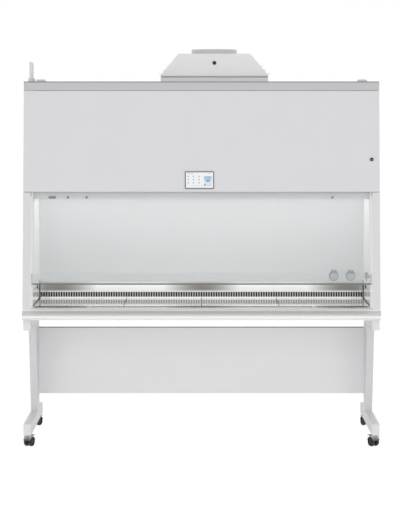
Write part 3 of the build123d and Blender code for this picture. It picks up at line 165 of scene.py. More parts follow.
# Castors
# Twin black wheels under a hooded fork. The fork and the brake pedal are glass-filled nylon,
# moulded dark grey; the swivel head is pressed steel with a bright zinc plating.
nylon_grey, shader, feed = surface_of("moulded grey nylon")
place = add_node(nylon_grey, "ShaderNodeTexCoord").outputs["Object"]
grain = add_node(
    nylon_grey,
    "ShaderNodeTexNoise",
    values={"Scale": 1 / (0.7 * MM), "Detail": 3.0},
    links={"Vector": place},
)
tone = add_node(nylon_grey, "ShaderNodeValToRGB", links={"Fac": grain.outputs["Fac"]})
tone.color_ramp.elements[0].color = linear("#5A5B5E")
tone.color_ramp.elements[1].color = linear("#6C6D71")
feed("Base Color", tone.outputs["Color"])
pits = add_node(
    nylon_grey,
    "ShaderNodeBump",
    values={"Strength": 0.2, "Distance": 0.05 * MM},
    links={"Height": grain.outputs["Fac"]},
)
feed("Normal", pits.outputs["Normal"])
shader.inputs["Roughness"].default_value = 0.38

# Polyurethane tread on a nylon hub, both black. The tread picks up floor dust, which greys it
# a little in patches the size of a fingertip.
tread_black, shader, feed = surface_of("cast black polyurethane")
place = add_node(tread_black, "ShaderNodeTexCoord").outputs["Object"]
dust = add_node(
    tread_black,
    "ShaderNodeTexNoise",
    values={"Scale": 1 / (12 * MM), "Detail": 5.0, "Roughness": 0.6},
    links={"Vector": place},
)
tone = add_node(tread_black, "ShaderNodeValToRGB", links={"Fac": dust.outputs["Fac"]})
tone.color_ramp.elements[0].position = 0.45
tone.color_ramp.elements[0].color = linear("#131314")
tone.color_ramp.elements[1].color = linear("#2A2A2B")
feed("Base Color", tone.outputs["Color"])
wear = add_node(
    tread_black,
    "ShaderNodeMapRange",
    values={"To Min": 0.32, "To Max": 0.6},
    links={"Value": dust.outputs["Fac"]},
)
feed("Roughness", wear.outputs["Result"])

# Zinc plating on pressed steel: crystals too fine to see, but the bright bath leaves cloudy
# patches about 6 mm across where the shine changes.
zinc_plate, shader, feed = surface_of("bright zinc-plated steel")
place = add_node(zinc_plate, "ShaderNodeTexCoord").outputs["Object"]
patches = add_node(
    zinc_plate,
    "ShaderNodeTexNoise",
    values={"Scale": 1 / (6 * MM), "Detail": 4.0},
    links={"Vector": place},
)
tone = add_node(zinc_plate, "ShaderNodeValToRGB", links={"Fac": patches.outputs["Fac"]})
tone.color_ramp.elements[0].color = linear("#B9BBBE")
tone.color_ramp.elements[1].color = linear("#D2D4D6")
feed("Base Color", tone.outputs["Color"])
haze = add_node(
    zinc_plate,
    "ShaderNodeMapRange",
    values={"To Min": 0.22, "To Max": 0.4},
    links={"Value": patches.outputs["Fac"]},
)
feed("Roughness", haze.outputs["Result"])
shader.inputs["Metallic"].default_value = 1.0

# The forks are moulded in the same nylon with a pale satin cap pressed over the crown.
capped_nylon = nylon_grey.copy()
capped_nylon.name = "moulded grey nylon with zinc cap"
place = add_node(capped_nylon, "ShaderNodeTexCoord").outputs["Object"]
height = add_node(capped_nylon, "ShaderNodeSeparateXYZ", links={"Vector": place})
cap_edge = 38 * MM  # above the floor
capped = add_node(
    capped_nylon,
    "ShaderNodeMapRange",
    values={"From Min": cap_edge, "From Max": cap_edge + 6 * MM},
    links={"Value": height.outputs["Z"]},
)
moulding = capped_nylon.node_tree.nodes[shader.name]
bare_nylon = moulding.inputs["Base Color"].links[0].from_socket
cap = add_node(
    capped_nylon,
    "ShaderNodeMix",
    values={7: linear("#B9BABC")},
    links={"Factor": capped.outputs["Result"], 6: bare_nylon},
    data_type="RGBA",
)
capped_nylon.node_tree.links.new(cap.outputs[2], moulding.inputs["Base Color"])
moulding.inputs["Roughness"].default_value = 0.25

four_corners = ("front_left", "front_right", "back_left", "back_right")
for corner in four_corners:
    coat(capped_nylon, f"castor_fork_{corner}")
    coat(tread_black, f"castor_wheels_{corner}")
coat(nylon_grey, "castor_pedal_front_left", "castor_pedal_front_right")
coat(zinc_plate, "castor_heads")

# Shell
# Folded sheet-steel panels, screwed together from inside: side walls, back, and the sheet behind
# the raised sash. They and the sampling pipe have the stand's powder coat.
coat(powder_coat, "side_panels", "back_panel", "inner_front_panel", "sampling_pipe")

# Top cover
# One folded sheet with the band over the fascia. Its powder coat is a shade darker than the rest,
# painted shade for its upright band, and a little glossier. A dark strip along its front fold
# is painted shade.
cover_shaded_coat, shader, feed = surface_of("powder coat mid grey")
place = add_node(cover_shaded_coat, "ShaderNodeTexCoord").outputs["Object"]
peel = add_node(
    cover_shaded_coat,
    "ShaderNodeTexNoise",
    values={"Scale": 1 / (1.5 * MM), "Detail": 2.0},
    links={"Vector": place},
)
tone = add_node(cover_shaded_coat, "ShaderNodeValToRGB", links={"Fac": peel.outputs["Fac"]})
# The darker grey stands in for the shade on the upright band: painted shade.
tone.color_ramp.elements[0].color = linear("#C3C3C5")
tone.color_ramp.elements[1].color = linear("#C8C8CA")
feed("Base Color", tone.outputs["Color"])
hills = add_node(
    cover_shaded_coat,
    "ShaderNodeBump",
    values={"Strength": 0.08, "Distance": 0.05 * MM},
    links={"Height": peel.outputs["Fac"]},
)
feed("Normal", hills.outputs["Normal"])
shader.inputs["Roughness"].default_value = 0.36
coat(cover_shaded_coat, "top_cover")


def new_piece(name, body, material, build):
    """A new piece, its mesh made by a function, that rides on a CAD body."""
    mesh = bpy.data.meshes.new(name)
    form = bmesh.new()
    build(form)
    bmesh.ops.recalc_face_normals(form, faces=form.faces)
    form.to_mesh(mesh)
    form.free()
    mesh.materials.append(material)
    piece = bpy.data.objects.new(name, mesh)
    bpy.context.scene.collection.objects.link(piece)
    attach(piece, body)


def prism(form, outline, low, high, place=Matrix()):
    """Adds a prism between two heights, over an outline in its own flat plane."""
    ends = [[form.verts.new(place @ Vector((u, v, w))) for u, v in outline] for w in (low, high)]
    form.faces.new(ends[0])
    form.faces.new(ends[1])
    count = len(outline)
    for i in range(count):
        k = (i + 1) % count
        form.faces.new((ends[0][i], ends[0][k], ends[1][k], ends[1][i]))


def rounded(width, height, radius, steps=6):
    """Corner-rounded rectangle about its middle."""
    points = []
    for turn, (sx, sy) in enumerate(((1, 1), (-1, 1), (-1, -1), (1, -1))):
        for step in range(steps + 1):
            angle = (turn + step / steps) * math.pi / 2
            x = sx * (width / 2 - radius) + radius * math.cos(angle)
            y = sy * (height / 2 - radius) + radius * math.sin(angle)
            points.append((x, y))
    return points


# Thin dark grey strips with a matt skin and pores about 1 mm across. Their dark grey is painted
# shade along folds, joints and the sash grip.
shade_strip_rubber, shader, feed = surface_of("dark strip of painted shade")
place = add_node(shade_strip_rubber, "ShaderNodeTexCoord").outputs["Object"]
pores = add_node(
    shade_strip_rubber,
    "ShaderNodeTexNoise",
    values={"Scale": 1 / (1.0 * MM), "Detail": 2.0},
    links={"Vector": place},
)
tone = add_node(shade_strip_rubber, "ShaderNodeValToRGB", links={"Fac": pores.outputs["Fac"]})
tone.color_ramp.elements[0].color = linear("#6E6E70")
tone.color_ramp.elements[1].color = linear("#828284")
feed("Base Color", tone.outputs["Color"])
dents = add_node(
    shade_strip_rubber,
    "ShaderNodeBump",
    values={"Strength": 0.3, "Distance": 0.2 * MM},
    links={"Height": pores.outputs["Fac"]},
)
feed("Normal", dents.outputs["Normal"])
shader.inputs["Roughness"].default_value = 0.8
cover_low, cover_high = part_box("top_cover")
cabinet_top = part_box("hood_base")[0].z
strip_bulge = 0.9 * MM
strip_half = 2.1 * MM  # half the strip's height
strip_drop = 2.6 * MM  # middle of the strip below the edge that it runs along
half_turns = [step * math.pi / 8 for step in range(9)]
half_round = [(strip_bulge * math.sin(t), strip_half * math.cos(t)) for t in half_turns]


def along_x(y, z):
    """Frame for a prism that runs to the right, its outline's first axis towards the user."""
    return Matrix(((0, 0, 1, 0), (-1, 0, 0, y), (0, 1, 0, z), (0, 0, 0, 1)))


def lay_strip(form):
    """Half-round dark strip along the cover's front fold: painted shade of the fold."""
    turn = along_x(cover_low.y, cabinet_top - strip_drop)
    prism(form, half_round, cover_low.x + 1 * MM, cover_high.x - 1 * MM, turn)


new_piece("cover_shade_strip", "cabinet", shade_strip_rubber, lay_strip)
panel_low, panel_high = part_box("stand_panel")


def lay_edging(form):
    """The same dark strip along the top of the stand's panel: painted shade of its folded edge."""
    turn = along_x(panel_low.y, panel_high.z - strip_drop)
    prism(form, half_round, panel_low.x + 2 * MM, panel_high.x - 2 * MM, turn)


new_piece("panel_shade_edging", "cabinet", shade_strip_rubber, lay_edging)

# Exhaust hood
# A welded pyramid of sheet with louvre blades on each end, on an open base frame. Room air
# slips in past the blades and leaves with the exhaust through the collar.
# The hood and its base frame take a paler copy of the coat: painted light that brightens the hood
# and lifts the base frame out of its shade.
hood_lit_coat = shade_of(powder_coat, "powder coat off-white", "#E7E7E8", "#EBEBEC")
coat(hood_lit_coat, "exhaust_hood", "hood_base")
base_low, base_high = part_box("hood_base")
joint_shade_insets = (1.6 * MM, 4.9 * MM)  # its outer and inner side, from the base frame's outside
joint_shade_foot = 4.9 * MM  # its foot below the base frame's top


def lay_ring(form):
    """Square dark ring in the joint between the base frame and the hood: painted shade of the
    joint.
    """
    middle = ((base_low + base_high) / 2).to_2d()
    size = (base_high - base_low).to_2d()
    loops = []
    for inset in joint_shade_insets:
        corners = [
            (middle.x + sx * (size.x / 2 - inset), middle.y + sy * (size.y / 2 - inset))
            for sx, sy in ((-1, -1), (1, -1), (1, 1), (-1, 1))
        ]
        for z in (base_high.z - joint_shade_foot, base_high.z - 0.1 * MM):
            loops.append([form.verts.new((x, y, z)) for x, y in corners])
    outer_low, outer_high, inner_low, inner_high = loops
    for one, other in (
        (outer_low, outer_high),
        (outer_high, inner_high),
        (inner_high, inner_low),
        (inner_low, outer_low),
    ):
        for i in range(4):
            k = (i + 1) % 4
            form.faces.new((one[i], one[k], other[k], other[i]))


new_piece("hood_joint_shade", "cabinet", shade_strip_rubber, lay_ring)

# Duct collar
# A strip of stainless steel, rolled into a ring and welded to a flange. Its mill finish runs
# round the ring and blurs reflections into a vertical smear.
rolled_stainless, shader, feed = surface_of("rolled stainless steel")
place = add_node(rolled_stainless, "ShaderNodeTexCoord").outputs["Object"]
stretch = add_node(
    rolled_stainless,
    "ShaderNodeMapping",
    values={"Scale": (1.0, 1.0, 14.0)},
    links={"Vector": place},
)
lines = add_node(
    rolled_stainless,
    "ShaderNodeTexNoise",
    values={"Scale": 1 / (9 * MM), "Detail": 4.0},
    links={"Vector": stretch.outputs["Vector"]},
)
tone = add_node(rolled_stainless, "ShaderNodeValToRGB", links={"Fac": lines.outputs["Fac"]})
tone.color_ramp.elements[0].color = linear("#B4B5B4")
tone.color_ramp.elements[1].color = linear("#C8C9C8")
feed("Base Color", tone.outputs["Color"])
shader.inputs["Metallic"].default_value = 1.0
shader.inputs["Roughness"].default_value = 0.32
coat(rolled_stainless, "duct_collar")

# Chamber walls
# Liners and back wall of stainless sheet, satin ground. The strip above the trays has a polish. Its
# colour there is painted: a bright painted sheen, painted shade on the bars between the slots, and
# painted reflection bands of the room above the slots.
wall_low, wall_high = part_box("chamber_back_wall")
tray_low, tray_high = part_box("work_trays")
work_height = tray_high.z
satin_stainless, shader, feed = surface_of("satin stainless steel")
place = add_node(satin_stainless, "ShaderNodeTexCoord").outputs["Object"]
stretch = add_node(
    satin_stainless,
    "ShaderNodeMapping",
    values={"Scale": (0.04, 0.04, 1.0)},
    links={"Vector": place},
)
grind = add_node(
    satin_stainless,
    "ShaderNodeTexNoise",
    values={"Scale": 1 / (1.2 * MM), "Detail": 3.0},
    links={"Vector": stretch.outputs["Vector"]},
)
satin = add_node(satin_stainless, "ShaderNodeValToRGB", links={"Fac": grind.outputs["Fac"]})
satin.color_ramp.elements[0].color = linear("#D6D7D8")
satin.color_ramp.elements[1].color = linear("#DDDEDF")
# Painted reflection: dark and bright bands along the wall, one pitch apart, as the room would
# mirror in it.
reflection_band_pitch = 805 * MM  # from one to the next
long_wave = add_node(
    satin_stainless,
    "ShaderNodeTexWave",
    values={"Scale": math.tau / (20 * reflection_band_pitch), "Distortion": 0.25, "Detail": 1.0},
    links={"Vector": place},
    bands_direction="X",
)
painted_reflection_ramp = add_node(satin_stainless, "ShaderNodeValToRGB", links={"Fac": long_wave.outputs["Fac"]})
painted_reflection_ramp.color_ramp.elements[0].color = linear("#8A8885")
painted_reflection_ramp.color_ramp.elements[1].position = 0.55
painted_reflection_ramp.color_ramp.elements[1].color = linear("#FBFBFA")

# Heights above the trays: the polish and its painted sheen fade out upwards at its top, the painted
# reflection bands fade in above the slots, and the bars between the slots are darkened as painted
# shade.
polish_top = work_height + 96 * MM
shades_foot = work_height + 36 * MM
shades_full = work_height + 48 * MM
slots_middle = work_height + 21.5 * MM
slots_half = 13.6 * MM
height = add_node(satin_stainless, "ShaderNodeSeparateXYZ", links={"Vector": place})
polish_and_sheen_zone = add_node(
    satin_stainless,
    "ShaderNodeMapRange",
    values={"From Min": polish_top, "From Max": polish_top - 12 * MM},
    links={"Value": height.outputs["Z"]},
)
reflection_fade = add_node(
    satin_stainless,
    "ShaderNodeMapRange",
    values={"From Min": shades_foot, "From Max": shades_full},
    links={"Value": height.outputs["Z"]},
)
slot_shade_mask = add_node(
    satin_stainless,
    "ShaderNodeMath",
    operation="COMPARE",
    values={1: slots_middle, 2: slots_half},
    links={0: height.outputs["Z"]},
)
# Bright painted sheen on the strip, darkened to painted shade on the bars between the slots.
sheen_and_slot_shade = add_node(
    satin_stainless,
    "ShaderNodeMix",
    values={6: linear("#F6F6F5"), 7: linear("#BDBCBA")},
    links={"Factor": slot_shade_mask.outputs[0]},
    data_type="RGBA",
)
painted_mirror = add_node(
    satin_stainless,
    "ShaderNodeMix",
    links={"Factor": reflection_fade.outputs["Result"], 6: sheen_and_slot_shade.outputs[2], 7: painted_reflection_ramp.outputs["Color"]},
    data_type="RGBA",
)
skin = add_node(
    satin_stainless,
    "ShaderNodeMix",
    links={
        "Factor": polish_and_sheen_zone.outputs["Result"],
        6: satin.outputs["Color"],
        7: painted_mirror.outputs[2],
    },
    data_type="RGBA",
)
feed("Base Color", skin.outputs[2])
shine = add_node(
    satin_stainless,
    "ShaderNodeMapRange",
    values={"To Min": 0.4, "To Max": 0.12},
    links={"Value": polish_and_sheen_zone.outputs["Result"]},
)
feed("Roughness", shine.outputs["Result"])
scores = add_node(
    satin_stainless,
    "ShaderNodeBump",
    values={"Strength": 0.1, "Distance": 0.02 * MM},
    links={"Height": grind.outputs["Fac"]},
)
feed("Normal", scores.outputs["Normal"])
shader.inputs["Metallic"].default_value = 0.6
coat(satin_stainless, "chamber_back_wall", "base_pan")

# The side liners are of the same sheet, but bead-blasted: softer and with no shades. Their paler
# colour is painted light against the shade they get in the chamber.
blasted_lit_name = "bead-blasted stainless steel, lightened"
blasted_lit_stainless = shade_of(satin_stainless, blasted_lit_name, "#F0F1F1", "#F6F7F7")
blasted = blasted_lit_stainless.node_tree.nodes
blasted[painted_reflection_ramp.name].color_ramp.elements[0].color = linear("#F2F2F1")
blasted[sheen_and_slot_shade.name].inputs[7].default_value = linear("#F6F6F5")
blasted[shader.name].inputs["Metallic"].default_value = 0.15
coat(blasted_lit_stainless, "chamber_liners")

# Duct shade
# A black sheet, shaped like convoluted foam, behind the slotted strip of the back wall. It is
# painted shade: it makes every slot look black, like the shade inside the return duct.
black_shade_sheet, shader, feed = surface_of("black sheet of painted shade")
place = add_node(black_shade_sheet, "ShaderNodeTexCoord").outputs["Object"]
cells = add_node(
    black_shade_sheet,
    "ShaderNodeTexVoronoi",
    values={"Scale": 1 / (2 * MM)},
    links={"Vector": place},
)
tone = add_node(black_shade_sheet, "ShaderNodeValToRGB", links={"Fac": cells.outputs["Distance"]})
tone.color_ramp.elements[0].color = linear("#0B0B0B")
tone.color_ramp.elements[1].color = linear("#1C1C1D")
feed("Base Color", tone.outputs["Color"])
shader.inputs["Roughness"].default_value = 0.95
shader.inputs["Specular IOR Level"].default_value = 0.1
foam_wave = 60 * MM  # length of one wave
foam_depth = 2 * MM
foam_sweep = 9.0  # radians of wave up the sheet
foam_height = 64 * MM
foam_middle = work_height + 22 * MM
foam_margin = 15 * MM  # short of the wall's ends
foam_gap = 8 * MM  # behind the wall, and the foam's own thickness


def lay_foam(form):
    """Convoluted sheet: waves on its front, flat behind."""
    bmesh.ops.create_grid(form, x_segments=150, y_segments=6, size=0.5)
    width = wall_high.x - wall_low.x - 2 * foam_margin
    for vert in form.verts:
        x, z = vert.co.x * width, foam_middle + vert.co.y * foam_height
        wave = math.cos(x * math.tau / foam_wave) * math.cos(vert.co.y * foam_sweep)
        vert.co = (x, wall_high.y + foam_gap - foam_depth * wave, z)
    top = bmesh.ops.extrude_face_region(form, geom=form.faces[:])
    for vert in [item for item in top["geom"] if isinstance(item, bmesh.types.BMVert)]:
        vert.co.y = wall_high.y + 2 * foam_gap


new_piece("duct_shade_sheet", "cabinet", black_shade_sheet, lay_foam)
grille_low, grille_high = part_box("front_grille")
grille_seam = 603 * MM  # joints of the grille's three lengths, from the middle
clear = 3 * MM  # foam ends short of each joint and end


def lay_intake(form):
    """Black painted shade under the intake grille: a strip on its rear fold and a sheet on the pan
    below.
    """
    spans = (
        (grille_low.x + clear, -grille_seam - clear),
        (-grille_seam + clear, grille_seam - clear),
        (grille_seam + clear, grille_high.x - clear),
    )
    for x0, x1 in spans:
        y0, y1 = grille_high.y - 2.9 * MM, grille_high.y - 1.6 * MM
        z0, z1 = grille_low.z + 0.5 * MM, grille_high.z - 1.7 * MM
        prism(form, [(x0, y0), (x1, y0), (x1, y1), (x0, y1)], z0, z1)
    x0, x1 = grille_low.x + clear, grille_high.x - clear
    y0, y1 = grille_low.y + 16 * MM, grille_high.y - 10 * MM
    floor_z = grille_low.z - 35 * MM
    prism(form, [(x0, y0), (x1, y0), (x1, y1), (x0, y1)], floor_z, floor_z + 4 * MM)


new_piece("intake_shade_sheet", "cabinet", black_shade_sheet, lay_intake)

# Corner beads
# Black silicone, tooled into a quarter round where the side liners meet the back wall, above the
# trays, and along the outer edges of the trays. Flat beads cover the joints between the trays.
silicone_black, shader, feed = surface_of("tooled black silicone")
place = add_node(silicone_black, "ShaderNodeTexCoord").outputs["Object"]
tooling = add_node(
    silicone_black,
    "ShaderNodeTexNoise",
    values={"Scale": 1 / (9 * MM), "Detail": 2.0},
    links={"Vector": place},
)
tone = add_node(silicone_black, "ShaderNodeValToRGB", links={"Fac": tooling.outputs["Fac"]})
tone.color_ramp.elements[0].color = linear("#161616")
tone.color_ramp.elements[1].color = linear("#262627")
feed("Base Color", tone.outputs["Color"])
ripples = add_node(
    silicone_black,
    "ShaderNodeBump",
    values={"Strength": 0.2, "Distance": 0.4 * MM},
    links={"Height": tooling.outputs["Fac"]},
)
feed("Normal", ripples.outputs["Normal"])
shader.inputs["Roughness"].default_value = 0.35
bead = 5 * MM
quarter_round = [(0.0, 0.0), (bead, 0.0)]
for step in range(1, 6):
    angle = step * math.pi / 12
    quarter_round.append((bead * (1 - math.sin(angle)), bead * (1 - math.cos(angle))))
quarter_round.append((0.0, bead))
for side, word in ((-1, "left"), (1, "right")):
    corner = side * wall_high.x

    def lay_upright(form):
        """Bead up the corner of the liner and the back wall, 100 mm tall."""
        turn = Matrix(((-side, 0, 0, corner), (0, -1, 0, wall_low.y), (0, 0, 1, 0), (0, 0, 0, 1)))
        prism(form, quarter_round, work_height, work_height + 100 * MM, turn)

    def lay_flat(form):
        """Bead along the liner's foot, as long as the trays are deep."""
        turn = Matrix(((-side, 0, 0, corner), (0, 0, 1, 0), (0, 1, 0, work_height), (0, 0, 0, 1)))
        prism(form, quarter_round, tray_low.y, tray_high.y, turn)

    new_piece(f"corner_bead_{word}", "cabinet", silicone_black, lay_upright)
    new_piece(f"tray_bead_{word}", "cabinet", silicone_black, lay_flat)


tray_seam = 419 * MM  # outer joints of the four trays, from the middle
flat_bead = (4 * MM, 0.8 * MM)  # width and height


def lay_joints(form):
    """Flat beads over the joints between the trays."""
    wide, tall = flat_bead
    y0, y1 = tray_low.y + 4 * MM, tray_high.y - 20 * MM
    for joint in (-tray_seam, 0.0, tray_seam):
        x0, x1 = joint - wide / 2, joint + wide / 2
        corners = [(x0, y0), (x1, y0), (x1, y1), (x0, y1)]
        prism(form, corners, work_height, work_height + tall)


new_piece("tray_joint_beads", "cabinet", silicone_black, lay_joints)

# Work trays and intake grille
# Bright-annealed stainless sheet, rolled between polished rolls. It mirrors the slots in the
# back wall, a little softened by long shallow waves. The grille's bars are darkened as painted
# shade.
bright_stainless, shader, feed = surface_of("bright-annealed stainless steel")
place = add_node(bright_stainless, "ShaderNodeTexCoord").outputs["Object"]
waves = add_node(
    bright_stainless,
    "ShaderNodeTexNoise",
    values={"Scale": 1 / (60 * MM), "Detail": 2.0},
    links={"Vector": place},
)
ripple = add_node(
    bright_stainless,
    "ShaderNodeBump",
    values={"Strength": 0.05, "Distance": 0.2 * MM},
    links={"Height": waves.outputs["Fac"]},
)
feed("Normal", ripple.outputs["Normal"])
smear = add_node(
    bright_stainless,
    "ShaderNodeMapRange",
    values={"To Min": 0.05, "To Max": 0.1},
    links={"Value": waves.outputs["Fac"]},
)
feed("Roughness", smear.outputs["Result"])
tone = add_node(bright_stainless, "ShaderNodeValToRGB", links={"Fac": waves.outputs["Fac"]})
tone.color_ramp.elements[0].color = linear("#EEEEED")
tone.color_ramp.elements[1].color = linear("#F8F8F7")
# Painted shade: the grille's bars darken across its row of slots, this far either side of its
# middle.
grille_shade_half = 41 * MM  # half the depth of the grille's row of slots, with its burr
spot = add_node(bright_stainless, "ShaderNodeSeparateXYZ", links={"Vector": place})
grille_shade_mask = add_node(
    bright_stainless,
    "ShaderNodeMath",
    operation="COMPARE",
    values={1: (grille_low.y + grille_high.y) / 2, 2: grille_shade_half},
    links={0: spot.outputs["Y"]},
)
sheet = add_node(
    bright_stainless,
    "ShaderNodeMix",
    values={7: linear("#9A9997")},
    links={"Factor": grille_shade_mask.outputs[0], 6: tone.outputs["Color"]},
    data_type="RGBA",
)
feed("Base Color", sheet.outputs[2])
shader.inputs["Metallic"].default_value = 0.4
coat(bright_stainless, "work_trays", "front_grille")

# Armrest
# Stainless sheet, press-braked round its nose and ground along its length with a belt. The level
# top and the nose are pale as a painted highlight; the slope between is darkened as painted shade.
belt_stainless, shader, feed = surface_of("belt-ground stainless steel")
place = add_node(belt_stainless, "ShaderNodeTexCoord").outputs["Object"]
stretch = add_node(
    belt_stainless,
    "ShaderNodeMapping",
    values={"Scale": (0.02, 1.0, 1.0)},
    links={"Vector": place},
)
scratch = add_node(
    belt_stainless,
    "ShaderNodeTexNoise",
    values={"Scale": 1 / (0.8 * MM), "Detail": 3.0},
    links={"Vector": stretch.outputs["Vector"]},
)
# Near-white sheet: a painted highlight on the level top and the nose.
tone = add_node(belt_stainless, "ShaderNodeValToRGB", links={"Fac": scratch.outputs["Fac"]})
tone.color_ramp.elements[0].color = linear("#F0F0EF")
tone.color_ramp.elements[1].color = linear("#FAFAF9")
# Painted shade on the slope between the level top and the nose.
slope_middle = work_height - 22 * MM
slope_half = 12.5 * MM
height = add_node(belt_stainless, "ShaderNodeSeparateXYZ", links={"Vector": place})
slope_shade_mask = add_node(
    belt_stainless,
    "ShaderNodeMath",
    operation="COMPARE",
    values={1: slope_middle, 2: slope_half},
    links={0: height.outputs["Z"]},
)
painted_slope_shade = add_node(
    belt_stainless,
    "ShaderNodeMix",
    values={7: linear("#CFCECA")},
    links={"Factor": slope_shade_mask.outputs[0], 6: tone.outputs["Color"]},
    data_type="RGBA",
)
feed("Base Color", painted_slope_shade.outputs[2])
scores = add_node(
    belt_stainless,
    "ShaderNodeBump",
    values={"Strength": 0.2, "Distance": 0.03 * MM},
    links={"Height": scratch.outputs["Fac"]},
)
feed("Normal", scores.outputs["Normal"])
shader.inputs["Metallic"].default_value = 0.7
shader.inputs["Roughness"].default_value = 0.3
coat(belt_stainless, "armrest")

# Ceiling
# A coated sheet with the diffuser under the filter, the lamp trough along its front edge, two
# frosted lamp tubes in it, and small dark sensor heads on the trough.
coat(powder_coat, "ceiling_frame", "air_diffuser")

# Phosphor-coated glass of the lamps, unlit: a chalky white with a slight gloss and denser
# coating in soft bands 30 mm long.
lamp_glass, shader, feed = surface_of("phosphor-coated lamp glass")
place = add_node(lamp_glass, "ShaderNodeTexCoord").outputs["Object"]
bands = add_node(
    lamp_glass,
    "ShaderNodeTexNoise",
    values={"Scale": 1 / (30 * MM)},
    links={"Vector": place},
)
tone = add_node(lamp_glass, "ShaderNodeValToRGB", links={"Fac": bands.outputs["Fac"]})
tone.color_ramp.elements[0].color = linear("#ECEDF0")
tone.color_ramp.elements[1].color = linear("#F4F5F6")
feed("Base Color", tone.outputs["Color"])
shader.inputs["Roughness"].default_value = 0.25
coat(lamp_glass, "lamp_tubes")
coat(nylon_grey, "ceiling_sensors")

# Sockets
# Splash-proof mains sockets on the back wall, with lids that spring shut. Both are moulded ABS
# in a mid grey with a fine spark-eroded grain. Collars of silicone seal them to the wall.
abs_grey, shader, feed = surface_of("moulded grey ABS")
place = add_node(abs_grey, "ShaderNodeTexCoord").outputs["Object"]
grain = add_node(
    abs_grey,
    "ShaderNodeTexNoise",
    values={"Scale": 1 / (0.8 * MM), "Detail": 2.0},
    links={"Vector": place},
)
tone = add_node(abs_grey, "ShaderNodeValToRGB", links={"Fac": grain.outputs["Fac"]})
tone.color_ramp.elements[0].color = linear("#8F9293")
tone.color_ramp.elements[1].color = linear("#9EA1A2")
feed("Base Color", tone.outputs["Color"])
shader.inputs["Roughness"].default_value = 0.4
coat(abs_grey, "socket_lid_left", "socket_lid_right")
socket_grey = shade_of(abs_grey, "moulded dark grey ABS", "#5C5F61", "#6A6D6F")
coat(socket_grey, "socket_bodies")
socket_xs = (741 * MM, 835 * MM)
socket_z = 870.3 * MM
collar_radii = (28 * MM, 23.4 * MM)  # outer and inner
collar_mouth = 84  # degrees, open at the top
collar_steps = 24


def lay_collars(form):
    """Open rings against the back wall, one round the body of each socket."""
    first, arc = 90 + collar_mouth / 2, 360 - collar_mouth
    ways = [math.radians(first + arc * step / collar_steps) for step in range(collar_steps + 1)]
    outer, inner = collar_radii
    rim = [(outer * math.cos(way), outer * math.sin(way)) for way in ways]
    rim += [(inner * math.cos(way), inner * math.sin(way)) for way in reversed(ways)]
    for x in socket_xs:
        turn = Matrix(((-1, 0, 0, x), (0, 0, 1, 0), (0, 1, 0, socket_z), (0, 0, 0, 1)))
        prism(form, rim, wall_low.y - 2 * MM, wall_low.y, turn)


new_piece("socket_collars", "cabinet", silicone_black, lay_collars)

# Gas tap
# A turned brass valve with an epoxy coat on its body and a moulded lever. The coat is worn to
# a warmer tone in spots a few millimetres wide.
brass_coat, shader, feed = surface_of("coated turned brass")
place = add_node(brass_coat, "ShaderNodeTexCoord").outputs["Object"]
spots = add_node(
    brass_coat,
    "ShaderNodeTexNoise",
    values={"Scale": 1 / (5 * MM), "Detail": 3.0},
    links={"Vector": place},
)
tone = add_node(brass_coat, "ShaderNodeValToRGB", links={"Fac": spots.outputs["Fac"]})
tone.color_ramp.elements[0].color = linear("#8C8474")
tone.color_ramp.elements[1].color = linear("#A79C86")
feed("Base Color", tone.outputs["Color"])
shader.inputs["Metallic"].default_value = 0.6
shader.inputs["Roughness"].default_value = 0.35
coat(brass_coat, "gas_valve")
coat(nylon_grey, "gas_handle")

# Plugs
# Nitrile rubber plugs in the service ports of both side walls and in the front of the hood.
# Moulded black, with a dull bloom that shows as paler clouds.
rubber_black, shader, feed = surface_of("moulded black rubber")
place = add_node(rubber_black, "ShaderNodeTexCoord").outputs["Object"]
bloom = add_node(
    rubber_black,
    "ShaderNodeTexNoise",
    values={"Scale": 1 / (4 * MM), "Detail": 3.0},
    links={"Vector": place},
)
tone = add_node(rubber_black, "ShaderNodeValToRGB", links={"Fac": bloom.outputs["Fac"]})
tone.color_ramp.elements[0].color = linear("#1B1B1C")
tone.color_ramp.elements[1].color = linear("#2E2E30")
feed("Base Color", tone.outputs["Color"])
shader.inputs["Roughness"].default_value = 0.65
coat(rubber_black, "service_plugs")

# Air path
# Filter cells with pleated glass fibre, a zinc-plated pressure box with two scroll boxes, and
# grey moulded fan wheels on motors with cases of the same nylon.
filter_fibre, shader, feed = surface_of("pleated glass fibre")
place = add_node(filter_fibre, "ShaderNodeTexCoord").outputs["Object"]
pleat_pitch = 5.9376 * MM
pleats = add_node(
    filter_fibre,
    "ShaderNodeTexWave",
    values={"Scale": math.tau / (20 * pleat_pitch), "Distortion": 0.4},
    links={"Vector": place},
    bands_direction="X",
)
# Darker in the troughs of the pleats: painted shade in the folds.
tone = add_node(filter_fibre, "ShaderNodeValToRGB", links={"Fac": pleats.outputs["Fac"]})
tone.color_ramp.elements[0].color = linear("#C9C8C0")
tone.color_ramp.elements[1].color = linear("#F0EFE8")
feed("Base Color", tone.outputs["Color"])
folds = add_node(
    filter_fibre,
    "ShaderNodeBump",
    values={"Strength": 0.6, "Distance": 1.0 * MM},
    links={"Height": pleats.outputs["Fac"]},
)
feed("Normal", folds.outputs["Normal"])
shader.inputs["Roughness"].default_value = 0.9
coat(filter_fibre, "supply_filter", "exhaust_filter")
coat(zinc_plate, "blower_plenum")
coat(nylon_grey, "blower_motors", "fan_left", "fan_right")

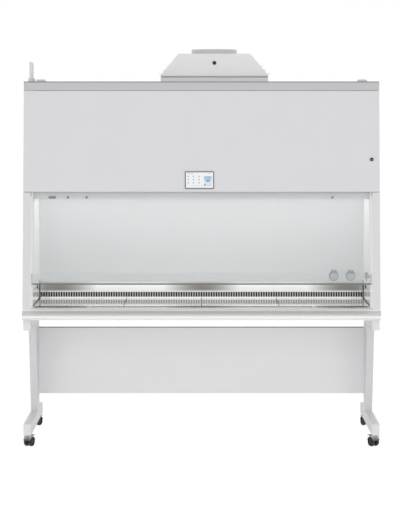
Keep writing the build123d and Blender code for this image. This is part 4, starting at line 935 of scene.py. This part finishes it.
# Sash
# A pane of toughened float glass. It is clear, with the faint green of float glass at its
# edges, and hangs in white plastic guides.
float_glass, shader, feed = surface_of("toughened float glass")
place = add_node(float_glass, "ShaderNodeTexCoord").outputs["Object"]
roller = add_node(
    float_glass,
    "ShaderNodeTexNoise",
    values={"Scale": 1 / (250 * MM)},
    links={"Vector": place},
)
long_wave = add_node(
    float_glass,
    "ShaderNodeBump",
    values={"Strength": 0.05, "Distance": 0.1 * MM},
    links={"Height": roller.outputs["Fac"]},
)
feed("Normal", long_wave.outputs["Normal"])
tone = add_node(float_glass, "ShaderNodeValToRGB", links={"Fac": roller.outputs["Fac"]})
tone.color_ramp.elements[0].color = linear("#DDE3E2")
tone.color_ramp.elements[1].color = linear("#E2E7E6")
feed("Base Color", tone.outputs["Color"])
shader.inputs["Roughness"].default_value = 0.03
shader.inputs["IOR"].default_value = 1.52
shader.inputs["Alpha"].default_value = 0.12
coat(float_glass, "sash_glass")

# Sash handle
# An extruded strip of clear polycarbonate, clipped over the pane's lower edge, with a dark grey
# strip of painted shade along its grip. Its drawn surface hazes what lies behind it.
clear_strip, shader, feed = surface_of("extruded clear polycarbonate")
place = add_node(clear_strip, "ShaderNodeTexCoord").outputs["Object"]
stretch = add_node(
    clear_strip,
    "ShaderNodeMapping",
    values={"Scale": (0.02, 1.0, 1.0)},
    links={"Vector": place},
)
draw = add_node(
    clear_strip,
    "ShaderNodeTexNoise",
    values={"Scale": 1 / (2 * MM)},
    links={"Vector": stretch.outputs["Vector"]},
)
tone = add_node(clear_strip, "ShaderNodeValToRGB", links={"Fac": draw.outputs["Fac"]})
tone.color_ramp.elements[0].color = linear("#D2D4D6")
tone.color_ramp.elements[1].color = linear("#DEE0E2")
feed("Base Color", tone.outputs["Color"])
shader.inputs["Roughness"].default_value = 0.15
shader.inputs["IOR"].default_value = 1.58
shader.inputs["Alpha"].default_value = 0.24
coat(clear_strip, "sash_handle")
grip_low, grip_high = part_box("sash_handle")
grip_half = 3.675 * MM  # half the height of the soft strip
grip_rise = 6 * MM  # its middle above the handle's lower edge
grip_bite = 0.3 * MM  # how far it is let into the handle


def lay_grip(form):
    """Dark strip along the grip's front, the same half-round, drawn taller: painted shade under the
    grip.
    """
    turn = along_x(grip_low.y + grip_bite, grip_low.z + grip_rise)
    lip = [(bulge, rise * grip_half / strip_half) for bulge, rise in half_round]
    prism(form, lip, grip_low.x + 8 * MM, grip_high.x - 8 * MM, turn)


new_piece("grip_shade_strip", "sash", shade_strip_rubber, lay_grip)

# Sash guides and balance
# White extruded guides, moulded pulleys, plated brackets and channels, and plain steel bars
# that balance the pane.
coat(moulded_white, "sash_guides")
for corner in four_corners:
    coat(moulded_white, f"pulley_{corner}")
coat(zinc_plate, "sash_brackets", "weight_channels")

# Hot-rolled bar with its mill scale: blue-black, with rust-brown freckles a few millimetres
# across.
mill_scale, shader, feed = surface_of("hot-rolled steel bar")
place = add_node(mill_scale, "ShaderNodeTexCoord").outputs["Object"]
freckles = add_node(
    mill_scale,
    "ShaderNodeTexNoise",
    values={"Scale": 1 / (7 * MM), "Detail": 6.0},
    links={"Vector": place},
)
tone = add_node(mill_scale, "ShaderNodeValToRGB", links={"Fac": freckles.outputs["Fac"]})
tone.color_ramp.elements[0].color = linear("#33363B")
tone.color_ramp.elements[1].position = 0.7
tone.color_ramp.elements[1].color = linear("#584C44")
feed("Base Color", tone.outputs["Color"])
shader.inputs["Metallic"].default_value = 0.7
shader.inputs["Roughness"].default_value = 0.55
coat(mill_scale, "counterweight_left", "counterweight_right")

# Fascia
# The hinged front cover: a shallow pan of folded sheet with the stand's powder coat. Its upper
# edge is rolled round a zinc-plated hinge rod.
coat(powder_coat, "fascia")
coat(zinc_plate, "fascia_hinge")

# Key lock
# A die-cast barrel with a black chrome plate. The plate is dark and mirrors the room, softened
# by the grain of the casting.
black_chrome, shader, feed = surface_of("black chrome plate")
place = add_node(black_chrome, "ShaderNodeTexCoord").outputs["Object"]
cast = add_node(
    black_chrome,
    "ShaderNodeTexNoise",
    values={"Scale": 1 / (0.8 * MM), "Detail": 2.0},
    links={"Vector": place},
)
tone = add_node(black_chrome, "ShaderNodeValToRGB", links={"Fac": cast.outputs["Fac"]})
tone.color_ramp.elements[0].color = linear("#202022")
tone.color_ramp.elements[1].color = linear("#2E2E31")
feed("Base Color", tone.outputs["Color"])
shader.inputs["Metallic"].default_value = 1.0
shader.inputs["Roughness"].default_value = 0.28
coat(black_chrome, "lock_barrel")


def slope_of(node, body_slope):
    """Frame on a sloping front face: across, up the slope and out of it."""
    across, up = Vector((1, 0, 0)), Vector((0, math.sin(body_slope), math.cos(body_slope)))
    out = across.cross(up)
    spots = [vert.co for vert in pieces[node].data.vertices]
    depth = max(spot.dot(out) for spot in spots)
    face = [spot for spot in spots if spot.dot(out) > depth - 0.1 * MM]
    x = (min(s.x for s in face) + max(s.x for s in face)) / 2
    rise = (min(s.dot(up) for s in face) + max(s.dot(up) for s in face)) / 2
    origin = across * x + up * rise + out * depth
    columns = Matrix((across, up, out)).transposed().to_4x4()
    return Matrix.Translation(origin) @ columns


front_slope = math.radians(5.5)
lock_face = slope_of("lock_barrel", front_slope)
cylinder_radius = 2.6 * MM
cylinder_middle = (0.8 * MM, -1.6 * MM, 0)  # from the barrel's middle, across and up


def lay_keyway(form):
    """Round plated cylinder face, low in the barrel, with a rib across it for the key's slot."""
    turns = [step * math.tau / 20 for step in range(20)]
    disc = [(cylinder_radius * math.cos(t), cylinder_radius * math.sin(t)) for t in turns]
    place_disc = lock_face @ Matrix.Translation(cylinder_middle)
    prism(form, disc, 0.05 * MM, 0.4 * MM, place_disc)
    prism(form, rounded(0.9 * MM, 3.6 * MM, 0.3 * MM), 0.4 * MM, 0.6 * MM, place_disc)


new_piece("lock_cylinder", "lock", zinc_plate, lay_keyway)

# Touch screen
# A flat bezel of back-printed polyester over the display. The blue-grey print has a fine
# embossed grain and a soft shine.
bezel_print, shader, feed = surface_of("back-printed polyester film")
place = add_node(bezel_print, "ShaderNodeTexCoord").outputs["Object"]
grain = add_node(
    bezel_print,
    "ShaderNodeTexNoise",
    values={"Scale": 1 / (0.6 * MM)},
    links={"Vector": place},
)
tone = add_node(bezel_print, "ShaderNodeValToRGB", links={"Fac": grain.outputs["Fac"]})
tone.color_ramp.elements[0].color = linear("#5C6674")
tone.color_ramp.elements[1].color = linear("#66707E")
feed("Base Color", tone.outputs["Color"])
shader.inputs["Roughness"].default_value = 0.3
coat(bezel_print, "touch_screen")

# Display, seen through the film: a liquid crystal panel with a plain status page. It has rows of
# small symbols, a pale blue level window and green lamps. Its dots are drawn 0.8 mm apart.
screen_face = slope_of("touch_screen", front_slope)


def display_colour(name, dark, light):
    """A colour on the display, with a grid of dots and the film's gloss over it."""
    material, shader, feed = surface_of(name)
    place = add_node(material, "ShaderNodeTexCoord").outputs["Object"]
    dots = add_node(
        material,
        "ShaderNodeTexChecker",
        values={"Scale": 1 / (0.8 * MM), "Color1": linear(dark), "Color2": linear(light)},
        links={"Vector": place},
    )
    feed("Base Color", dots.outputs["Color"])
    shader.inputs["Roughness"].default_value = 0.12
    return material


def panel_of(name, material, outlines, low, high):
    """One layer of the display: outlines with their middles, in millimetres on the screen."""

    def build(form):
        for across, up, outline in outlines:
            spot = screen_face @ Matrix.Translation((across * MM, up * MM, 0))
            prism(form, [(u * MM, v * MM) for u, v in outline], low * MM, high * MM, spot)

    new_piece(name, "fascia", material, build)


def oval(width, height, steps=24):
    """Ellipse about its middle."""
    turns = [step * math.tau / steps for step in range(steps)]
    return [(width / 2 * math.cos(turn), height / 2 * math.sin(turn)) for turn in turns]


page_white = display_colour("display white", "#F3F6FA", "#FCFDFE")
symbol_grey = display_colour("display grey", "#8F959F", "#A2A8B1")
title_grey = display_colour("display pale grey", "#C6C9D2", "#D2D5DC")
sky_blue = display_colour("display blue", "#A9BFE6", "#B9CCEC")
pale_blue = display_colour("display pale blue", "#DCE5F5", "#E6EDF8")
lamp_green = display_colour("display green", "#5FA24C", "#74B35F")
page_top = 0.22  # each layer's face, in millimetres above the film
print_top = 0.36
window_top = 0.34
panel_of("display_page", page_white, [(0, 0, rounded(145, 83, 2.5))], 0.02, page_top)
header = 35.5  # the page's top line, above its middle
symbols = [(-16, header, oval(4, 4))]
labels = [
    (-48, header, rounded(34, 3, 1.2)),
    (52, header, rounded(22, 2.4, 1)),
    (10, -30, rounded(110, 1.6, 0.7)),
]
for across in (-58.9, -31.8, -2.1):
    for up in (20.4, 4.2, -13.5):
        symbols.append((across, up, rounded(5.6, 5.6, 1.6)))
        labels.append((across, up - 5.6, rounded(12, 1.4, 0.6)))
panel_of("display_symbols", symbol_grey, symbols, page_top, print_top)
panel_of("display_labels", title_grey, labels, page_top, print_top)
panel_of("display_window", pale_blue, [(44.5, -5, rounded(41, 54, 2))], page_top, window_top)
panel_of("display_level", sky_blue, [(44.5, 11, rounded(39, 21, 1.5))], window_top, 0.44)
greens = [(45, -4.5, oval(23, 9)), (29, -25.5, oval(9.5, 8.5))]
panel_of("display_lamps", lamp_green, greens, window_top, 0.46)

# Floor
# A seamless studio floor, far larger than the cabinet. The camera and mirrors see it nearly
# white, and a little of the cabinet's own shadow stays on it.
floor_mesh = bpy.data.meshes.new("studio_floor")
outline = bmesh.new()
bmesh.ops.create_grid(outline, x_segments=1, y_segments=1, size=60)
outline.to_mesh(floor_mesh)
outline.free()
studio_floor = bpy.data.objects.new("studio_floor", floor_mesh)
bpy.context.scene.collection.objects.link(studio_floor)
paper_white, shader, feed = surface_of("matt white floor")
shader.inputs["Base Color"].default_value = linear("#F4F4F4")
shader.inputs["Roughness"].default_value = 0.9


def background_ray(holder):
    """1 for a ray from the camera, off a mirror or through glass, and 0 for the others."""
    ray = add_node(holder, "ShaderNodeLightPath")
    seen = ray.outputs["Is Camera Ray"]
    for kind in ("Is Glossy Ray", "Is Transmission Ray"):
        links = {0: seen, 1: ray.outputs[kind]}
        seen = add_node(holder, "ShaderNodeMath", operation="MAXIMUM", links=links).outputs[0]
    return seen


share = add_node(
    paper_white,
    "ShaderNodeMath",
    operation="MULTIPLY",
    values={1: 0.88},
    links={0: background_ray(paper_white)},
)
glow = add_node(paper_white, "ShaderNodeEmission", values={"Color": (1, 1, 1, 1), "Strength": 1.06})
mix = add_node(
    paper_white,
    "ShaderNodeMixShader",
    links={0: share.outputs[0], 1: shader.outputs[0], 2: glow.outputs[0]},
)
sheet_output = paper_white.node_tree.nodes["Material Output"]
paper_white.node_tree.links.new(mix.outputs[0], sheet_output.inputs["Surface"])
floor_mesh.materials.append(paper_white)

# Studio light
# Six large soft boxes round the cabinet and an even white surround. Mirrors don't show the
# boxes: polished steel sees the plain surround.
surround = bpy.data.worlds.new("white surround")
bpy.context.scene.world = surround
surround.use_nodes = True
sky = surround.node_tree.nodes["Background"]
sky.inputs["Color"].default_value = (1, 1, 1, 1)
level = add_node(
    surround,
    "ShaderNodeMapRange",
    values={"To Min": 0.6, "To Max": 1.0},
    links={"Value": background_ray(surround)},
)
surround.node_tree.links.new(level.outputs["Result"], sky.inputs["Strength"])

# Place, width in metres and power in watts.
soft_boxes = {
    "front box": ((0.0, -6.5, 1.4), 4.0, 48),
    "top box": ((0.0, -1.2, 5.0), 2.6, 12),
    "low box": ((0.0, -4.5, 0.5), 2.0, 12),
    "left box": ((-5.0, -4.6, 1.6), 3.0, 42),
    "right box": ((5.0, -4.6, 1.6), 3.0, 36),
    "back box": ((0.0, 6.5, 2.4), 4.0, 60),
}
middle = Vector((0, 0, 1.05))
for name, (spot, size, power) in soft_boxes.items():
    lamp = bpy.data.lights.new(name, "AREA")
    lamp.size = size
    lamp.energy = power
    box_light = bpy.data.objects.new(name, lamp)
    box_light.location = spot
    box_light.rotation_euler = (middle - Vector(spot)).to_track_quat("-Z", "Y").to_euler()
    box_light.visible_glossy = False
    bpy.context.scene.collection.objects.link(box_light)

# A long lamp under the chamber's ceiling fills the chamber.
lamp = bpy.data.lights.new("chamber strip", "AREA")
lamp.shape = "RECTANGLE"
lamp.size = 1.78
lamp.size_y = 0.35
lamp.energy = 4.0
strip_light = bpy.data.objects.new("chamber strip", lamp)
strip_light.location = (0.0, 0.0, 1.32)
strip_light.visible_glossy = False
bpy.context.scene.collection.objects.link(strip_light)

# Camera
# Level with the top of the cabinet and far back, with a long lens. It tips down a little, and
# the lens is shifted down, so that the castors are in view and upright edges stay nearly upright.
eye = Vector((0.0, -11.162, 1.839))
lens_data = bpy.data.cameras.new("camera")
lens_data.sensor_width = 36.0
lens_data.lens = 143.4
lens_data.shift_y = -0.2
camera = bpy.data.objects.new("camera", lens_data)
camera.location = eye
tilt = math.radians(1.41)  # below the horizon
camera.rotation_euler = (math.pi / 2 - tilt, 0, 0)
bpy.context.scene.collection.objects.link(camera)
bpy.context.scene.camera = camera
bpy.context.scene.view_settings.view_transform = "Standard"
